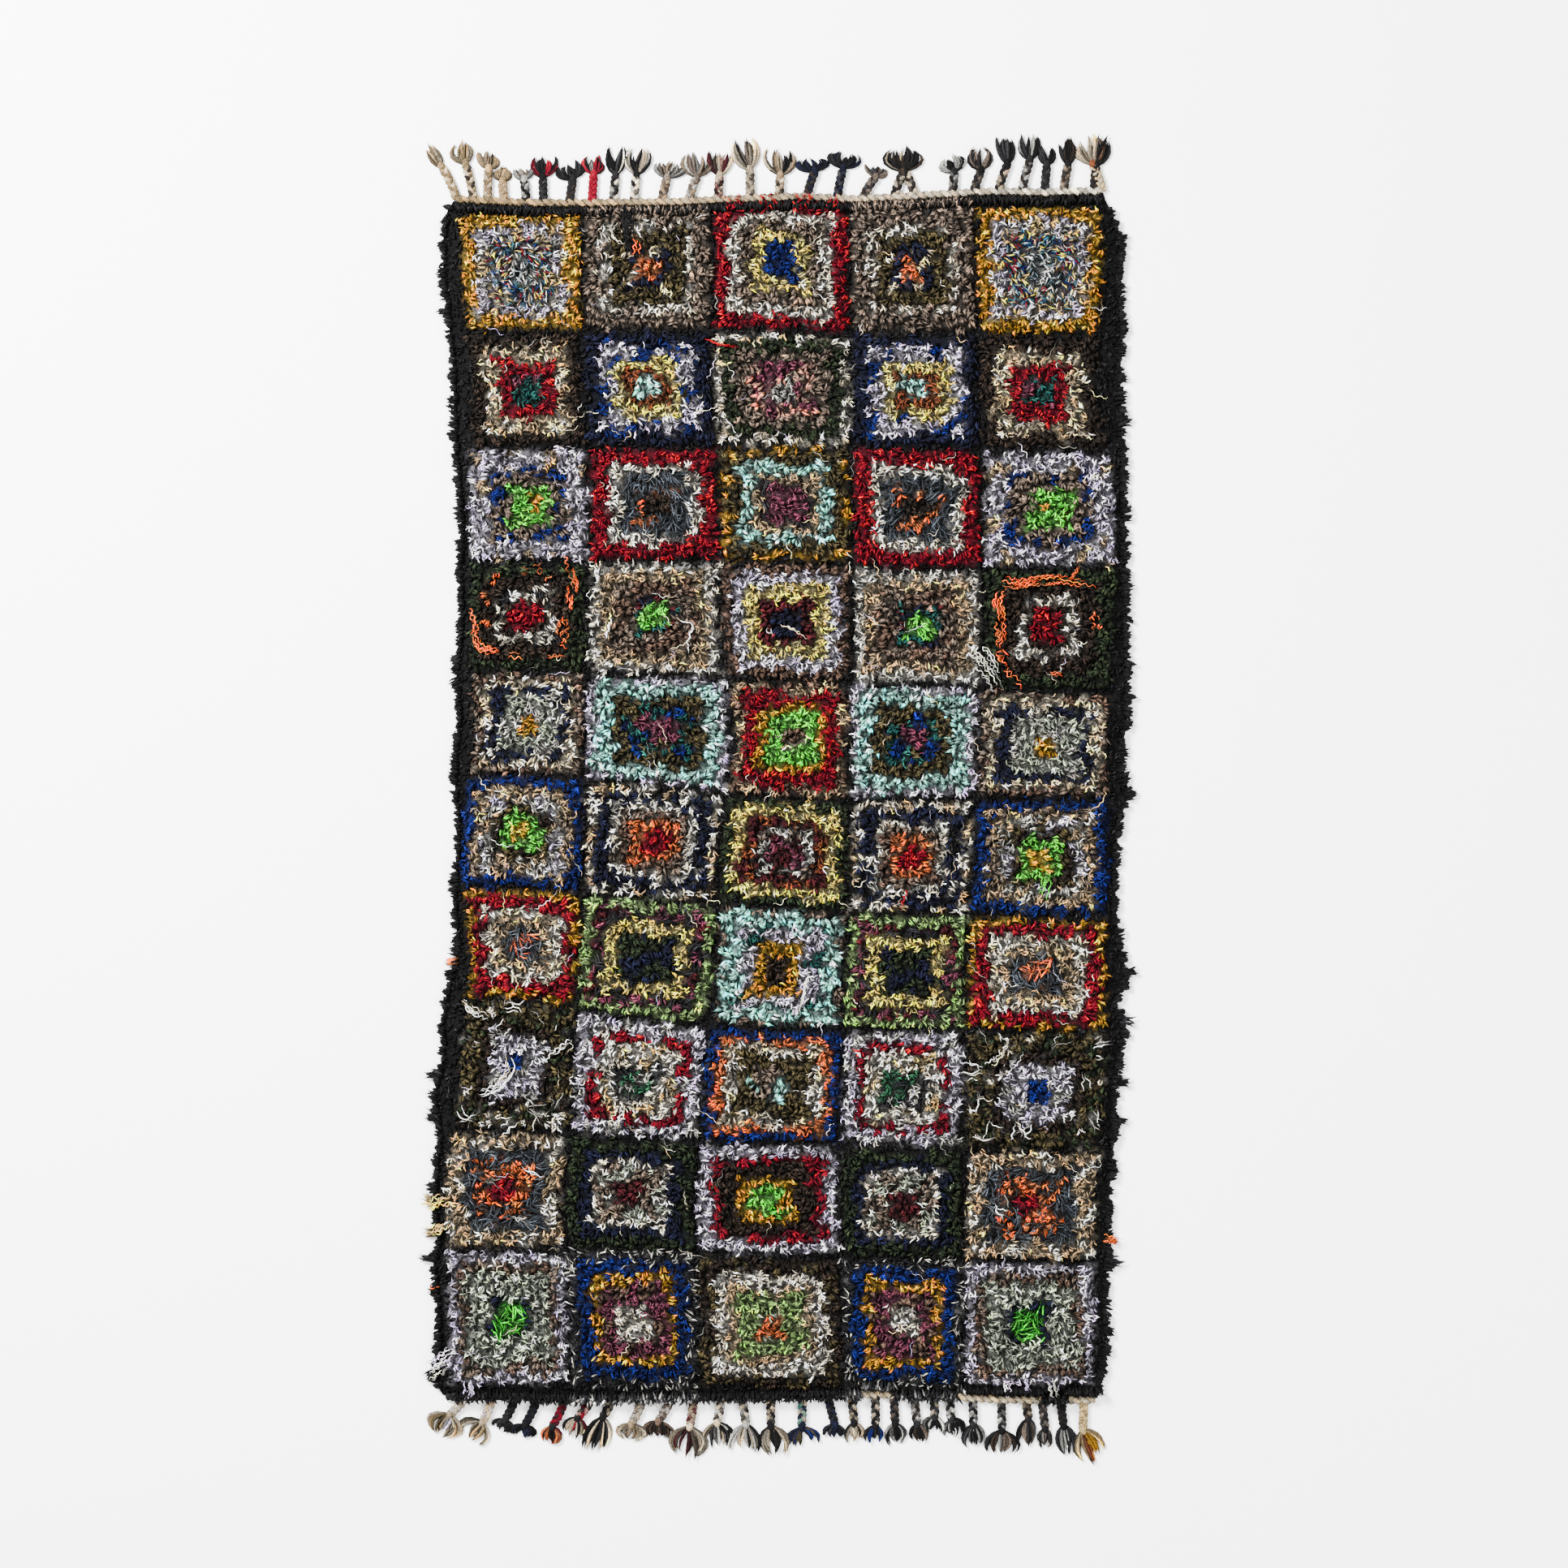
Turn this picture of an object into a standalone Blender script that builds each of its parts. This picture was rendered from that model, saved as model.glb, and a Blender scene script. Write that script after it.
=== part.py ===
"""Boucherouite rug, lying flat on a floor.

A shaggy pile field, one lumpy slab with locks at its side rims, has a twined heading cord along
its top and its bottom edge. Braided tassels stand out from each cord. The squares of the pattern
show in the solid only as shallow grooves, where the pile parts between them.

Frame: X across the rug, Y along it towards the top fringe, Z up, the underside on Z = 0.
Sizes are in millimetres and are turned to metres when the meshes are made.
"""
import math
import random
from collections import namedtuple

import bmesh
import bpy
from mathutils import Vector, noise

MM = 0.001
YARN_ROUGHNESS = 0.95
PILE_COLOUR = (0.22, 0.19, 0.18)
TOP_COLOUR = (0.45, 0.38, 0.28)
BOTTOM_COLOUR = (0.16, 0.14, 0.13)
CORD_GAP = 0.75           # from the slab to a heading cord: 0.3 or more all along
ON_FLOOR = 0.01           # a point lower than this lies on the floor
FACES_OUT = 0.75          # a wall looks out to a side where its normal does by this much
SEED = 11

# Whole rug
HALF_WIDTH = 645.0        # to the tip of the longest lock at either side
HALF_LENGTH = 1193.0      # to the tip of the longest tassel at either end

# Pile field
PILE_HEIGHT = 23.0        # mean height of the pile's top
RIM_HEIGHT = 9.0          # height of the slab at its outer edge
RIM_SLOPE = 46.0          # the pile reaches its full height this far in
LUMP_HEIGHT = 4.5         # clumps of pile rise and sink by this much
LUMP_SIZE = 62.0          # spacing of the clumps
BIG_LUMPS = 1.3           # share of the noise at that spacing
SMALL_LUMPS = 0.6         # and at a finer one
LUMP_FINENESS = 2.3
RIM_LUMPS = 0.4           # clumps at the rim, as a share of those inside
GROOVE_DEPTH = 4.5        # where the pile parts between two squares
GROOVE_WIDTH = 14.0       # from the bottom of a groove to the full height
SQUARE_CELLS = 6          # cells of the slab's grid across one square, the narrow ones included
FIT_ROUNDS = 4            # passes that fit a point to the side and the end edges at once
RIM_JAG = 4.5             # the side edges wander in and out by this much
RIM_JAG_SIZE = 13.0
RIM_JAG_END = 1035.0      # and are plain past this distance from the middle

# Rim locks along both sides
LOCK_EVERY = 2            # of two neighbouring wall quads the outer one carries a lock
LOCK_ROOT = 16.0          # a wall quad narrower than this carries no lock
LOCK_REACH = (10.0, 26.0)
LOCK_LEAN = (-14.0, 7.0)
STEEPEST_LEAN = 0.6       # of a lock's reach
LOCK_RINGS = ((0.35, 11.0, 8.0), (0.70, 7.0, 5.5))   # share of the reach, width, height

# Every strand is an upright quad in section, narrower at its top
STRAND_TOP = 0.72         # width at the top, as a share of the width at the floor

# Heading cords
CORD_WIDTH = 14.0
CORD_HEIGHT = 12.0
CORD_FOOT = 0.8           # the cord's inner face leans out by this much up to its shoulder
CORD_SHOULDER = 0.55      # height of the inner shoulder, as a share of the cord's height
CORD_CREST = 0.42         # place of the crest across the cord
CORD_OUTSIDE = 0.62       # height of the outer face, again as a share
OUTSIDE_TWIST = 0.4       # the outer face sinks where the crest rises
CREST_TWIST = 0.5
CORD_STEP = 12.5          # half a turn of the cord's twist
TWIST_RISE = 1.6          # the twist raises and moves the cord's crest by this much

# Braided tassels
BRAID_WIDTH = 13.5
BRAID_HEIGHT = 12.0
BRAID_STEPS = 5
BRAID_BULGE = 1.5         # the plaits widen and narrow the braid by this much
BRAID_SWELL = 0.5         # and raise it by this share of that
BRAID_BEND = 1.4          # above 1 the braid leaves the cord straight and leans over later
NECK_WIDTH = 10.5
BRUSH_ROOT = 19.0         # width of the knot that the brush springs from
BRUSH_HEIGHT = 11.0
BRUSH_ROOT_LENGTH = 7.0
BRUSH_LOCKS = 3
BRUSH_LOCK_WIDTH = 4.5    # of a brush with no spread, and it grows with the spread
BRUSH_LOCK_GROWTH = 0.55
LOCK_MIDDLE = 0.55        # where a brush lock bends, as a share of its length
LOCK_FLARE = 0.25         # it bends outwards by this share of the spread
LOCK_MIDDLE_HEIGHT = 0.8  # its height there, as a share of the knot's
OUTER_LOCK_LENGTH = 0.84  # of the middle lock's length

# The slab's side edges, from the top of the rug to its bottom
Edge = namedtuple("Edge", "y left right")
EDGES = (
    Edge(1074, -578, 583), Edge(1062, -590, 590), Edge(1040, -600, 600), Edge(990, -605, 620),
    Edge(920, -604, 611), Edge(845, -594, 620), Edge(760, -587, 613), Edge(615, -582, 618),
    Edge(480, -571, 622), Edge(410, -576, 623), Edge(320, -572, 625), Edge(235, -581, 626),
    Edge(150, -577, 628), Edge(62, -583, 612), Edge(10, -583, 630), Edge(-45, -577, 611),
    Edge(-112, -580, 606), Edge(-198, -586, 604), Edge(-264, -576, 612), Edge(-315, -590, 625),
    Edge(-372, -603, 603), Edge(-405, -607, 622), Edge(-460, -605, 615), Edge(-532, -621, 603),
    Edge(-605, -611, 604), Edge(-677, -619, 595), Edge(-750, -619, 592), Edge(-793, -614, 593),
    Edge(-837, -622, 589), Edge(-895, -616, 588), Edge(-980, -612, 590), Edge(-1025, -624, 580),
    Edge(-1048, -616, 579), Edge(-1068, -604, 573),
)

# Where the slab meets the heading cords, across the rug
End = namedtuple("End", "x top bottom")
ENDS = (
    End(-600, 1062, -1062), End(-460, 1055, -1061), End(-375, 1054, -1066), End(-190, 1056, -1064),
    End(-90, 1061, -1062), End(40, 1066, -1059), End(140, 1061, -1057), End(290, 1070, -1060),
    End(380, 1075, -1066), End(480, 1073, -1068), End(600, 1077, -1067),
)

# Seams round the squares, from top to bottom: height at the left and at the right of the squares
RowSeam = namedtuple("RowSeam", "left right")
ROW_SEAMS = (
    RowSeam(1046, 1056), RowSeam(831, 824), RowSeam(625, 619), RowSeam(420, 410),
    RowSeam(225, 190), RowSeam(40, 1), RowSeam(-162, -215), RowSeam(-358, -419),
    RowSeam(-593, -629), RowSeam(-803, -828), RowSeam(-1050, -1053),
)
# The same from left to right: place at the top, the middle and the bottom of the rug
ColumnSeam = namedtuple("ColumnSeam", "top middle bottom")
COLUMN_SEAMS = (
    ColumnSeam(-566, -550, -592), ColumnSeam(-352, -350, -374), ColumnSeam(-119, -90, -150),
    ColumnSeam(125, 125, 112), ColumnSeam(350, 352, 329), ColumnSeam(574, 590, 560),
)

# Locks that stand out furthest: side, place along the rug, reach of the tip, lean along Y
LongLock = namedtuple("LongLock", "side y tip_x lean")
LONG_LOCKS = (
    LongLock(-1, 870, -618, 12), LongLock(-1, -500, -633, -14), LongLock(-1, -575, -629, -16),
    LongLock(-1, -742, -633, -14), LongLock(-1, -826, -HALF_WIDTH, 8), LongLock(-1, -990, -628, -16),
    LongLock(1, 668, 632, -18), LongLock(1, 180, 641, 4), LongLock(1, -312, HALF_WIDTH, -12),
    LongLock(1, -508, 634, 2), LongLock(1, -572, 643, -8), LongLock(1, -826, 628, -24),
    LongLock(1, -946, 601, -8),
)

# Tassels from left to right: root on the cord, then the neck and the brush tip, both from the root
Tassel = namedtuple("Tassel", "root_x neck_x neck_out tip_x tip_out spread")
TOP_TASSELS = (
    Tassel(-577, -26, 52, -54, 95, 4), Tassel(-546, -14, 58, -20, 104, 10),
    Tassel(-521, 2, 50, 4, 84, 8), Tassel(-492, -2, 30, 0, 60, 6), Tassel(-452, -3, 34, -8, 58, 8),
    Tassel(-421, -1, 38, -3, 82, 10), Tassel(-374, 6, 36, -4, 74, 13), Tassel(-334, 3, 44, 6, 84, 9),
    Tassel(-296, 4, 42, 4, 104, 7), Tassel(-259, 4, 42, 14, 96, 11), Tassel(-209, 9, 36, 14, 74, 14),
    Tassel(-161, 14, 36, 13, 86, 13), Tassel(-109, 3, 36, 4, 88, 11), Tassel(-52, 0, 44, -14, 108, 12),
    Tassel(0, 2, 32, 6, 90, 14), Tassel(50, 14, 38, 10, 68, 13), Tassel(104, 10, 46, 15, 80, 15),
    Tassel(150, 22, 32, 29, 56, 9), Tassel(206, 16, 38, 14, 90, 17), Tassel(310, 3, 32, -6, 66, 11),
    Tassel(348, 13, 32, 10, 84, 11), Tassel(392, 16, 42, 10, 104, 7), Tassel(434, 14, 50, 8, 112, 9),
    Tassel(474, 4, 42, 4, 82, 6), Tassel(508, 8, 42, 10, 96, 5), Tassel(550, 1, 40, 3, 100, 5),
    Tassel(573, 4, 36, 10, 94, 8),
)
BOTTOM_TASSELS = (
    Tassel(-561, -27, 24, -48, 68, 14), Tassel(-512, -17, 38, -45, 76, 14),
    Tassel(-471, -18, 34, -28, 58, 10), Tassel(-432, -22, 42, -28, 70, 11),
    Tassel(-383, -22, 42, -28, 78, 10), Tassel(-336, -24, 26, -36, 66, 9),
    Tassel(-299, -16, 26, -34, 92, 11), Tassel(-244, -20, 38, -24, 72, 14),
    Tassel(-194, -22, 34, -26, 70, 13), Tassel(-152, -8, 44, -14, 110, 15),
    Tassel(-103, -8, 38, -4, 86, 14), Tassel(-65, 6, 42, 6, 98, 13), Tassel(-15, 0, 46, 8, 112, 10),
    Tassel(42, -2, 50, 4, 86, 13), Tassel(88, 12, 46, 9, 72, 8), Tassel(130, 4, 44, 2, 84, 8),
    Tassel(172, 0, 48, -5, 84, 7), Tassel(205, 2, 44, 3, 88, 5), Tassel(242, 4, 44, 9, 80, 5),
    Tassel(277, 1, 30, -2, 62, 6), Tassel(305, 2, 34, 14, 68, 9), Tassel(346, 1, 40, 6, 86, 9),
    Tassel(397, 1, 48, -4, 104, 14), Tassel(441, 4, 26, 2, 82, 7), Tassel(470, 5, 44, 4, 84, 5),
    Tassel(503, 5, 38, 14, 102, 6), Tassel(544, -2, 46, 28, 124, 12),
)


def spread_values(first, last, count):
    """Evenly spaced values from first to last."""
    return [first + (last - first) * i / (count - 1) for i in range(count)]


def smooth_table(table, key, column, value):
    """Read one column of a table at a key, easing from row to row."""
    rows = sorted(table, key=lambda row: getattr(row, key))
    if value <= getattr(rows[0], key):
        return getattr(rows[0], column)
    for low, high in zip(rows, rows[1:]):
        if value <= getattr(high, key):
            share = (value - getattr(low, key)) / (getattr(high, key) - getattr(low, key))
            ease = share * share * (3.0 - 2.0 * share)
            return getattr(low, column) + ease * (getattr(high, column) - getattr(low, column))
    return getattr(rows[-1], column)


def side_edge(side, y):
    return smooth_table(EDGES, "y", "left" if side < 0 else "right", y)


def end_edge(end, x):
    return smooth_table(ENDS, "x", "top" if end > 0 else "bottom", x)


def row_seam_y(seam, x):
    first = COLUMN_SEAMS[0].middle
    share = (x - first) / (COLUMN_SEAMS[-1].middle - first)
    return seam.left + share * (seam.right - seam.left)


def column_seam_x(seam, y):
    if y > 0.0:
        return seam.middle + (seam.top - seam.middle) * y / ROW_SEAMS[0].left
    return seam.middle + (seam.bottom - seam.middle) * y / ROW_SEAMS[-1].left


def grid_lines(low_edge, seams, high_edge):
    """Places of the grid's lines: two at either rim, then each square with narrow cells at its seams."""
    lines = [low_edge, (low_edge + seams[0]) / 2.0]
    for low, high in zip(seams, seams[1:]):
        lines.append(low)
        lines += spread_values(low + GROOVE_WIDTH, high - GROOVE_WIDTH, SQUARE_CELLS - 1)
    return lines + [seams[-1], (seams[-1] + high_edge) / 2.0, high_edge]


def is_seam(index, line_count):
    """Whether a grid line runs along a seam."""
    return 2 <= index <= line_count - 3 and (index - 2) % SQUARE_CELLS == 0


def column_lines(y):
    seams = [column_seam_x(seam, y) for seam in COLUMN_SEAMS]
    return grid_lines(side_edge(-1, y), seams, side_edge(1, y))


def row_lines(x):
    seams = [row_seam_y(seam, x) for seam in reversed(ROW_SEAMS)]
    return grid_lines(end_edge(-1, x), seams, end_edge(1, x))


def clumps(x, y):
    """Lumps of pile, between about -1 and 1, from noise at two sizes."""
    place = Vector((x / LUMP_SIZE, y / LUMP_SIZE, 0.5))
    return BIG_LUMPS * noise.noise(place) + SMALL_LUMPS * noise.noise(place * LUMP_FINENESS)


def pile_height(x, y, inset, on_seam):
    """Height of the slab's top at a point that lies inset from the nearest edge."""
    rise = math.sin(min(1.0, inset / RIM_SLOPE) * math.pi / 2.0)
    full = PILE_HEIGHT + LUMP_HEIGHT * clumps(x, y)
    if on_seam:
        full -= GROOVE_DEPTH
    rim = RIM_HEIGHT + RIM_LUMPS * LUMP_HEIGHT * clumps(x, y)
    return rim + rise * (full - rim)


def new_object(name, bm, colour, collection):
    """Make an object from a bmesh, with its own yarn material."""
    bmesh.ops.recalc_face_normals(bm, faces=bm.faces)
    bmesh.ops.triangulate(bm, faces=bm.faces)
    bmesh.ops.scale(bm, vec=(MM, MM, MM), verts=bm.verts)
    mesh = bpy.data.meshes.new(name)
    bm.to_mesh(mesh)
    bm.free()
    part = bpy.data.objects.new(name, mesh)
    part.data.materials.append(yarn_material(name + "_yarn", colour))
    collection.objects.link(part)
    return part


def yarn_material(name, colour):
    material = bpy.data.materials.new(name)
    material.use_nodes = True
    shader = material.node_tree.nodes["Principled BSDF"]
    shader.inputs["Base Color"].default_value = (*colour, 1.0)
    shader.inputs["Roughness"].default_value = YARN_ROUGHNESS
    shader.inputs["Metallic"].default_value = 0.0
    return material


def extrude_once(bm, face, corners):
    """Extrude a quad and put the new quad's four corners where they belong."""
    new_face = bmesh.ops.extrude_discrete_faces(bm, faces=[face])["faces"][0]
    old = [vert.co.copy() for vert in new_face.verts]
    for vert, place in zip(new_face.verts, order_like(old, corners)):
        vert.co = place
    return new_face


def order_like(old, corners):
    """Match four corners to four points: left and right by X or Y, low and high by Z."""
    middle = sum(old, Vector()) / len(old)
    along = Vector((corners["side"].x, corners["side"].y, 0.0))
    places = []
    for point in old:
        right = (point - middle).dot(along) > 0.0
        high = point.z > middle.z
        places.append(corners[("right" if right else "left", "high" if high else "low")])
    return places


def section(centre, direction, width, height):
    """Corners of an upright quad across a strand that lies on the floor."""
    side = Vector((-direction.y, direction.x, 0.0)).normalized()
    floor = Vector((centre.x, centre.y, 0.0))
    top = Vector((0.0, 0.0, height))
    half = side * width / 2.0
    inner = half * STRAND_TOP
    return {
        "side": side,
        ("left", "low"): floor - half,
        ("right", "low"): floor + half,
        ("left", "high"): floor - inner + top,
        ("right", "high"): floor + inner + top,
    }


def grow_strand(bm, face, path, widths, heights):
    """Extrude a quad along a path on the floor, one section at each point."""
    for i, point in enumerate(path):
        before = path[i - 1] if i else Vector((*face.calc_center_median().xy, 0.0))
        after = path[i + 1] if i + 1 < len(path) else point
        direction = (after - before).normalized()
        face = extrude_once(bm, face, section(point, direction, widths[i], heights[i]))
    return face


def close_to_tip(bm, face, tip):
    """End a strand in a point that lies on the floor."""
    new_face = bmesh.ops.extrude_discrete_faces(bm, faces=[face])["faces"][0]
    bmesh.ops.pointmerge(bm, verts=list(new_face.verts), merge_co=tip)


def field_grid(bm):
    """The slab's top as a grid, its lines fitted to the rug's outline and to the seams."""
    columns = len(column_lines(0.0)) - 1
    rows = len(row_lines(0.0)) - 1
    bmesh.ops.create_grid(bm, x_segments=columns, y_segments=rows, size=0.5)
    for vert in bm.verts:
        column = round((vert.co.x + 0.5) * columns)
        row = round((vert.co.y + 0.5) * rows)
        x = 0.0
        for _ in range(FIT_ROUNDS):
            across = row_lines(x)
            y = across[row]
            along = column_lines(y)
            x = along[column]
        inset = min(x - along[0], along[-1] - x, y - across[0], across[-1] - y)
        on_seam = is_seam(column, columns + 1) or is_seam(row, rows + 1)
        vert.co = Vector((x, y, pile_height(x, y, inset, on_seam)))


def close_field(bm):
    """Drop the rim to the floor and close the slab with one flat underside."""
    rim = [edge for edge in bm.edges if edge.is_boundary]
    walls = bmesh.ops.extrude_edge_only(bm, edges=rim)["geom"]
    for item in walls:
        if isinstance(item, bmesh.types.BMVert):
            item.co.z = 0.0
    bottom = [edge for edge in bm.edges if edge.is_boundary]
    bmesh.ops.edgeloop_fill(bm, edges=bottom)


def side_walls(bm, side):
    """The slab's wall quads that look out to the left or the right, from the top of the rug down."""
    bm.normal_update()
    walls = []
    for face in bm.faces:
        heights = sorted(vert.co.z for vert in face.verts)
        stands = len(face.verts) == 4 and heights[1] < ON_FLOOR < heights[2]
        if stands and face.normal.x * side > FACES_OUT:
            walls.append(face)
    return sorted(walls, key=lambda face: -face.calc_center_median().y)


def longest_edge(face):
    return max(edge.calc_length() for edge in face.edges)


def level_edges(face):
    """The edges of an upright quad that run along its foot and its top."""
    flat = []
    for edge in face.edges:
        step = edge.verts[1].co - edge.verts[0].co
        if abs(step.z) < step.xy.length:
            flat.append(edge)
    return flat


def roughen_rim(bm):
    """Split each wall quad in two and let the side edges wander in and out."""
    for side in (-1, 1):
        edges = {edge for wall in side_walls(bm, side) for edge in level_edges(wall)}
        bmesh.ops.subdivide_edges(bm, edges=list(edges), cuts=1, use_grid_fill=True)
        for vert in {vert for wall in side_walls(bm, side) for vert in wall.verts}:
            calm = min(1.0, max(0.0, (RIM_JAG_END - abs(vert.co.y)) / RIM_SLOPE))
            jag = noise.noise(Vector((side * LUMP_SIZE, vert.co.y / RIM_JAG_SIZE, 0.5)))
            vert.co.x = side_edge(side, vert.co.y) + RIM_JAG * calm * jag


def rim_locks(bm):
    """Locks of yarn along both sides, each grown from one quad of the slab's wall."""
    rng = random.Random(SEED)
    for side in (-1, 1):
        walls = [wall for wall in side_walls(bm, side) if longest_edge(wall) > LOCK_ROOT]
        chosen = {}
        for i in range(0, len(walls), LOCK_EVERY):
            near = range(i, min(i + LOCK_EVERY, len(walls)))
            chosen[max(near, key=lambda j: side * walls[j].calc_center_median().x)] = None
        for lock in LONG_LOCKS:
            if lock.side == side:
                nearest = min(chosen, key=lambda i: abs(walls[i].calc_center_median().y - lock.y))
                chosen[nearest] = lock
        for i, lock in chosen.items():
            reach = rng.uniform(*LOCK_REACH)
            lean = rng.uniform(*LOCK_LEAN)
            if lock:
                reach = side * (lock.tip_x - walls[i].calc_center_median().x)
                lean = lock.lean
            grow_rim_lock(bm, walls[i], side, max(LOCK_REACH[0], reach), lean)


def grow_rim_lock(bm, wall, side, reach, lean):
    """One lock on the floor, no further out than the rug's half width."""
    root = Vector((*wall.calc_center_median().xy, 0.0))
    reach = min(reach, HALF_WIDTH - side * root.x)
    lean = max(-STEEPEST_LEAN * reach, min(STEEPEST_LEAN * reach, lean))
    throw = Vector((side * reach, lean, 0.0))
    path = [root + throw * share for share, _, _ in LOCK_RINGS]
    widths = [width for _, width, _ in LOCK_RINGS]
    heights = [height for _, _, height in LOCK_RINGS]
    end = grow_strand(bm, wall, path, widths, heights)
    close_to_tip(bm, end, root + throw)


def make_pile_field(collection):
    bm = bmesh.new()
    field_grid(bm)
    close_field(bm)
    bmesh.ops.recalc_face_normals(bm, faces=bm.faces)
    roughen_rim(bm)
    rim_locks(bm)
    return new_object("pile_field", bm, PILE_COLOUR, collection)


def cord_section(x, end, step):
    """Points round the heading cord, from its foot at the pile over its crest to its outer foot."""
    foot = end_edge(end, x) + end * CORD_GAP
    twist = TWIST_RISE if step % 2 else -TWIST_RISE
    profile = (
        (0.0, 0.0),
        (CORD_FOOT, CORD_SHOULDER * CORD_HEIGHT),
        (CORD_CREST * CORD_WIDTH + end * twist, CORD_HEIGHT + CREST_TWIST * twist),
        (CORD_WIDTH, CORD_OUTSIDE * CORD_HEIGHT - OUTSIDE_TWIST * twist),
        (CORD_WIDTH, 0.0),
    )
    return [Vector((x, foot + end * out, up)) for out, up in profile]


def make_cord(bm, end):
    """Heading cord: one section at each half turn of its twist, skinned and capped."""
    first = side_edge(-1, end_edge(end, ENDS[0].x)) + CORD_WIDTH
    last = side_edge(1, end_edge(end, ENDS[-1].x)) - CORD_WIDTH / 2.0
    count = round((last - first) / CORD_STEP) + 1
    rings = []
    for step, x in enumerate(spread_values(first, last, count)):
        rings.append([bm.verts.new(place) for place in cord_section(x, end, step)])
    for near, far in zip(rings, rings[1:]):
        loops = [edge_between(bm, ring, i) for ring in (near, far) for i in range(len(ring))]
        bmesh.ops.bridge_loops(bm, edges=loops)
    for ring in (rings[0], rings[-1]):
        bmesh.ops.contextual_create(bm, geom=ring)
    bmesh.ops.recalc_face_normals(bm, faces=bm.faces)


def edge_between(bm, ring, i):
    """The edge from one point of a ring to the next, made where it is missing."""
    pair = (ring[i], ring[(i + 1) % len(ring)])
    return bm.edges.get(pair) or bm.edges.new(pair)


def outer_walls(bm, end):
    """The cord's upright quads that look away from the pile, from left to right."""
    walls = []
    for face in bm.faces:
        centre = face.calc_center_median()
        on_floor = min(vert.co.z for vert in face.verts) < ON_FLOOR
        if len(face.verts) == 4 and on_floor and face.normal.y * end > FACES_OUT:
            walls.append((centre.x, face))
    return [face for _, face in sorted(walls, key=lambda item: item[0])]


def bend_path(start, neck, steps):
    """Points from a root to a neck: straight out of the cord, then leaning over."""
    points = []
    for i in range(1, steps + 1):
        share = i / steps
        points.append(Vector((
            start.x + (neck.x - start.x) * share ** BRAID_BEND,
            start.y + (neck.y - start.y) * share,
            0.0,
        )))
    return points


def grow_tassel(bm, wall, tassel, end):
    """A braid out of the cord, its knot, and the brush of locks at its end."""
    root = Vector((*wall.calc_center_median().xy, 0.0))
    neck = root + Vector((tassel.neck_x, end * tassel.neck_out, 0.0))
    tip_y = min(HALF_LENGTH, end * root.y + tassel.tip_out)
    tip = Vector((root.x + tassel.tip_x, end * tip_y, 0.0))
    path = bend_path(root, neck, BRAID_STEPS)
    widths = [BRAID_WIDTH + BRAID_BULGE * (-1) ** i for i in range(BRAID_STEPS - 1)] + [NECK_WIDTH]
    heights = [BRAID_HEIGHT - BRAID_SWELL * BRAID_BULGE * (-1) ** i for i in range(BRAID_STEPS)]
    knot = neck + (tip - neck).normalized() * BRUSH_ROOT_LENGTH
    path.append(knot)
    widths.append(BRUSH_ROOT)
    heights.append(BRUSH_HEIGHT)
    head = grow_strand(bm, wall, path, widths, heights)
    grow_brush(bm, head, tip - knot, tassel.spread)


def split_side_by_side(bm, face, shares):
    """Split an upright quad across its width and give the new quads."""
    face.normal_update()
    normal = face.normal.copy()
    centre = face.calc_center_median()
    width = longest_edge(face)
    bmesh.ops.subdivide_edges(bm, edges=level_edges(face), cuts=shares - 1, use_grid_fill=True)
    quads = []
    for near in bm.faces:
        apart = [vert.co - centre for vert in near.verts]
        in_plane = max(abs(step.dot(normal)) for step in apart) < ON_FLOOR
        if in_plane and max(step.length for step in apart) < width:
            quads.append(near)
    return quads


def grow_brush(bm, head, reach, spread):
    """The brush's locks, each grown from its own share of the knot's end."""
    across = Vector((-reach.y, reach.x, 0.0)).normalized()
    roots = split_side_by_side(bm, head, BRUSH_LOCKS)
    roots.sort(key=lambda face: face.calc_center_median().dot(across))
    for i, face in enumerate(roots):
        offset = i - (len(roots) - 1) / 2.0
        root = Vector((*face.calc_center_median().xy, 0.0))
        length = OUTER_LOCK_LENGTH if offset else 1.0
        throw = reach * length + across * offset * spread
        bend = root + throw * LOCK_MIDDLE + across * offset * spread * LOCK_FLARE
        width = BRUSH_LOCK_WIDTH + BRUSH_LOCK_GROWTH * spread
        end_face = grow_strand(bm, face, [bend], [width], [LOCK_MIDDLE_HEIGHT * BRUSH_HEIGHT])
        close_to_tip(bm, end_face, root + throw)


def make_fringe(name, end, tassels, colour, collection):
    """Heading cord with its braided tassels, one closed body."""
    bm = bmesh.new()
    make_cord(bm, end)
    walls = outer_walls(bm, end)
    for tassel in tassels:
        wall = min(walls, key=lambda face: abs(face.calc_center_median().x - tassel.root_x))
        walls.remove(wall)
        grow_tassel(bm, wall, tassel, end)
        bm.normal_update()
    return new_object(name, bm, colour, collection)


def clear_scene():
    for item in list(bpy.data.objects):
        bpy.data.objects.remove(item, do_unlink=True)


def main():
    clear_scene()
    collection = bpy.data.collections.new("boucherouite_rug")
    bpy.context.scene.collection.children.link(collection)
    make_pile_field(collection)
    make_fringe("top_fringe", 1, TOP_TASSELS, TOP_COLOUR, collection)
    make_fringe("bottom_fringe", -1, BOTTOM_TASSELS, BOTTOM_COLOUR, collection)


main()
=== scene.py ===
"""Looks of the boucherouite rug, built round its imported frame.

The rug lies flat on a floor. A woven ground carries a bed of pile, and tufts of many yarns stand on
the bed in rows of concentric squares. A twined cord and braided tassels finish both ends.

Frame: X across the rug, Y along it towards the top fringe, Z up, the underside on Z = 0.
Lengths are in millimetres and are turned to metres when a mesh is made. A pair of values in
brackets is the lowest and the highest of something drawn at random, where no comment says otherwise.
"""
from collections import namedtuple

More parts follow.
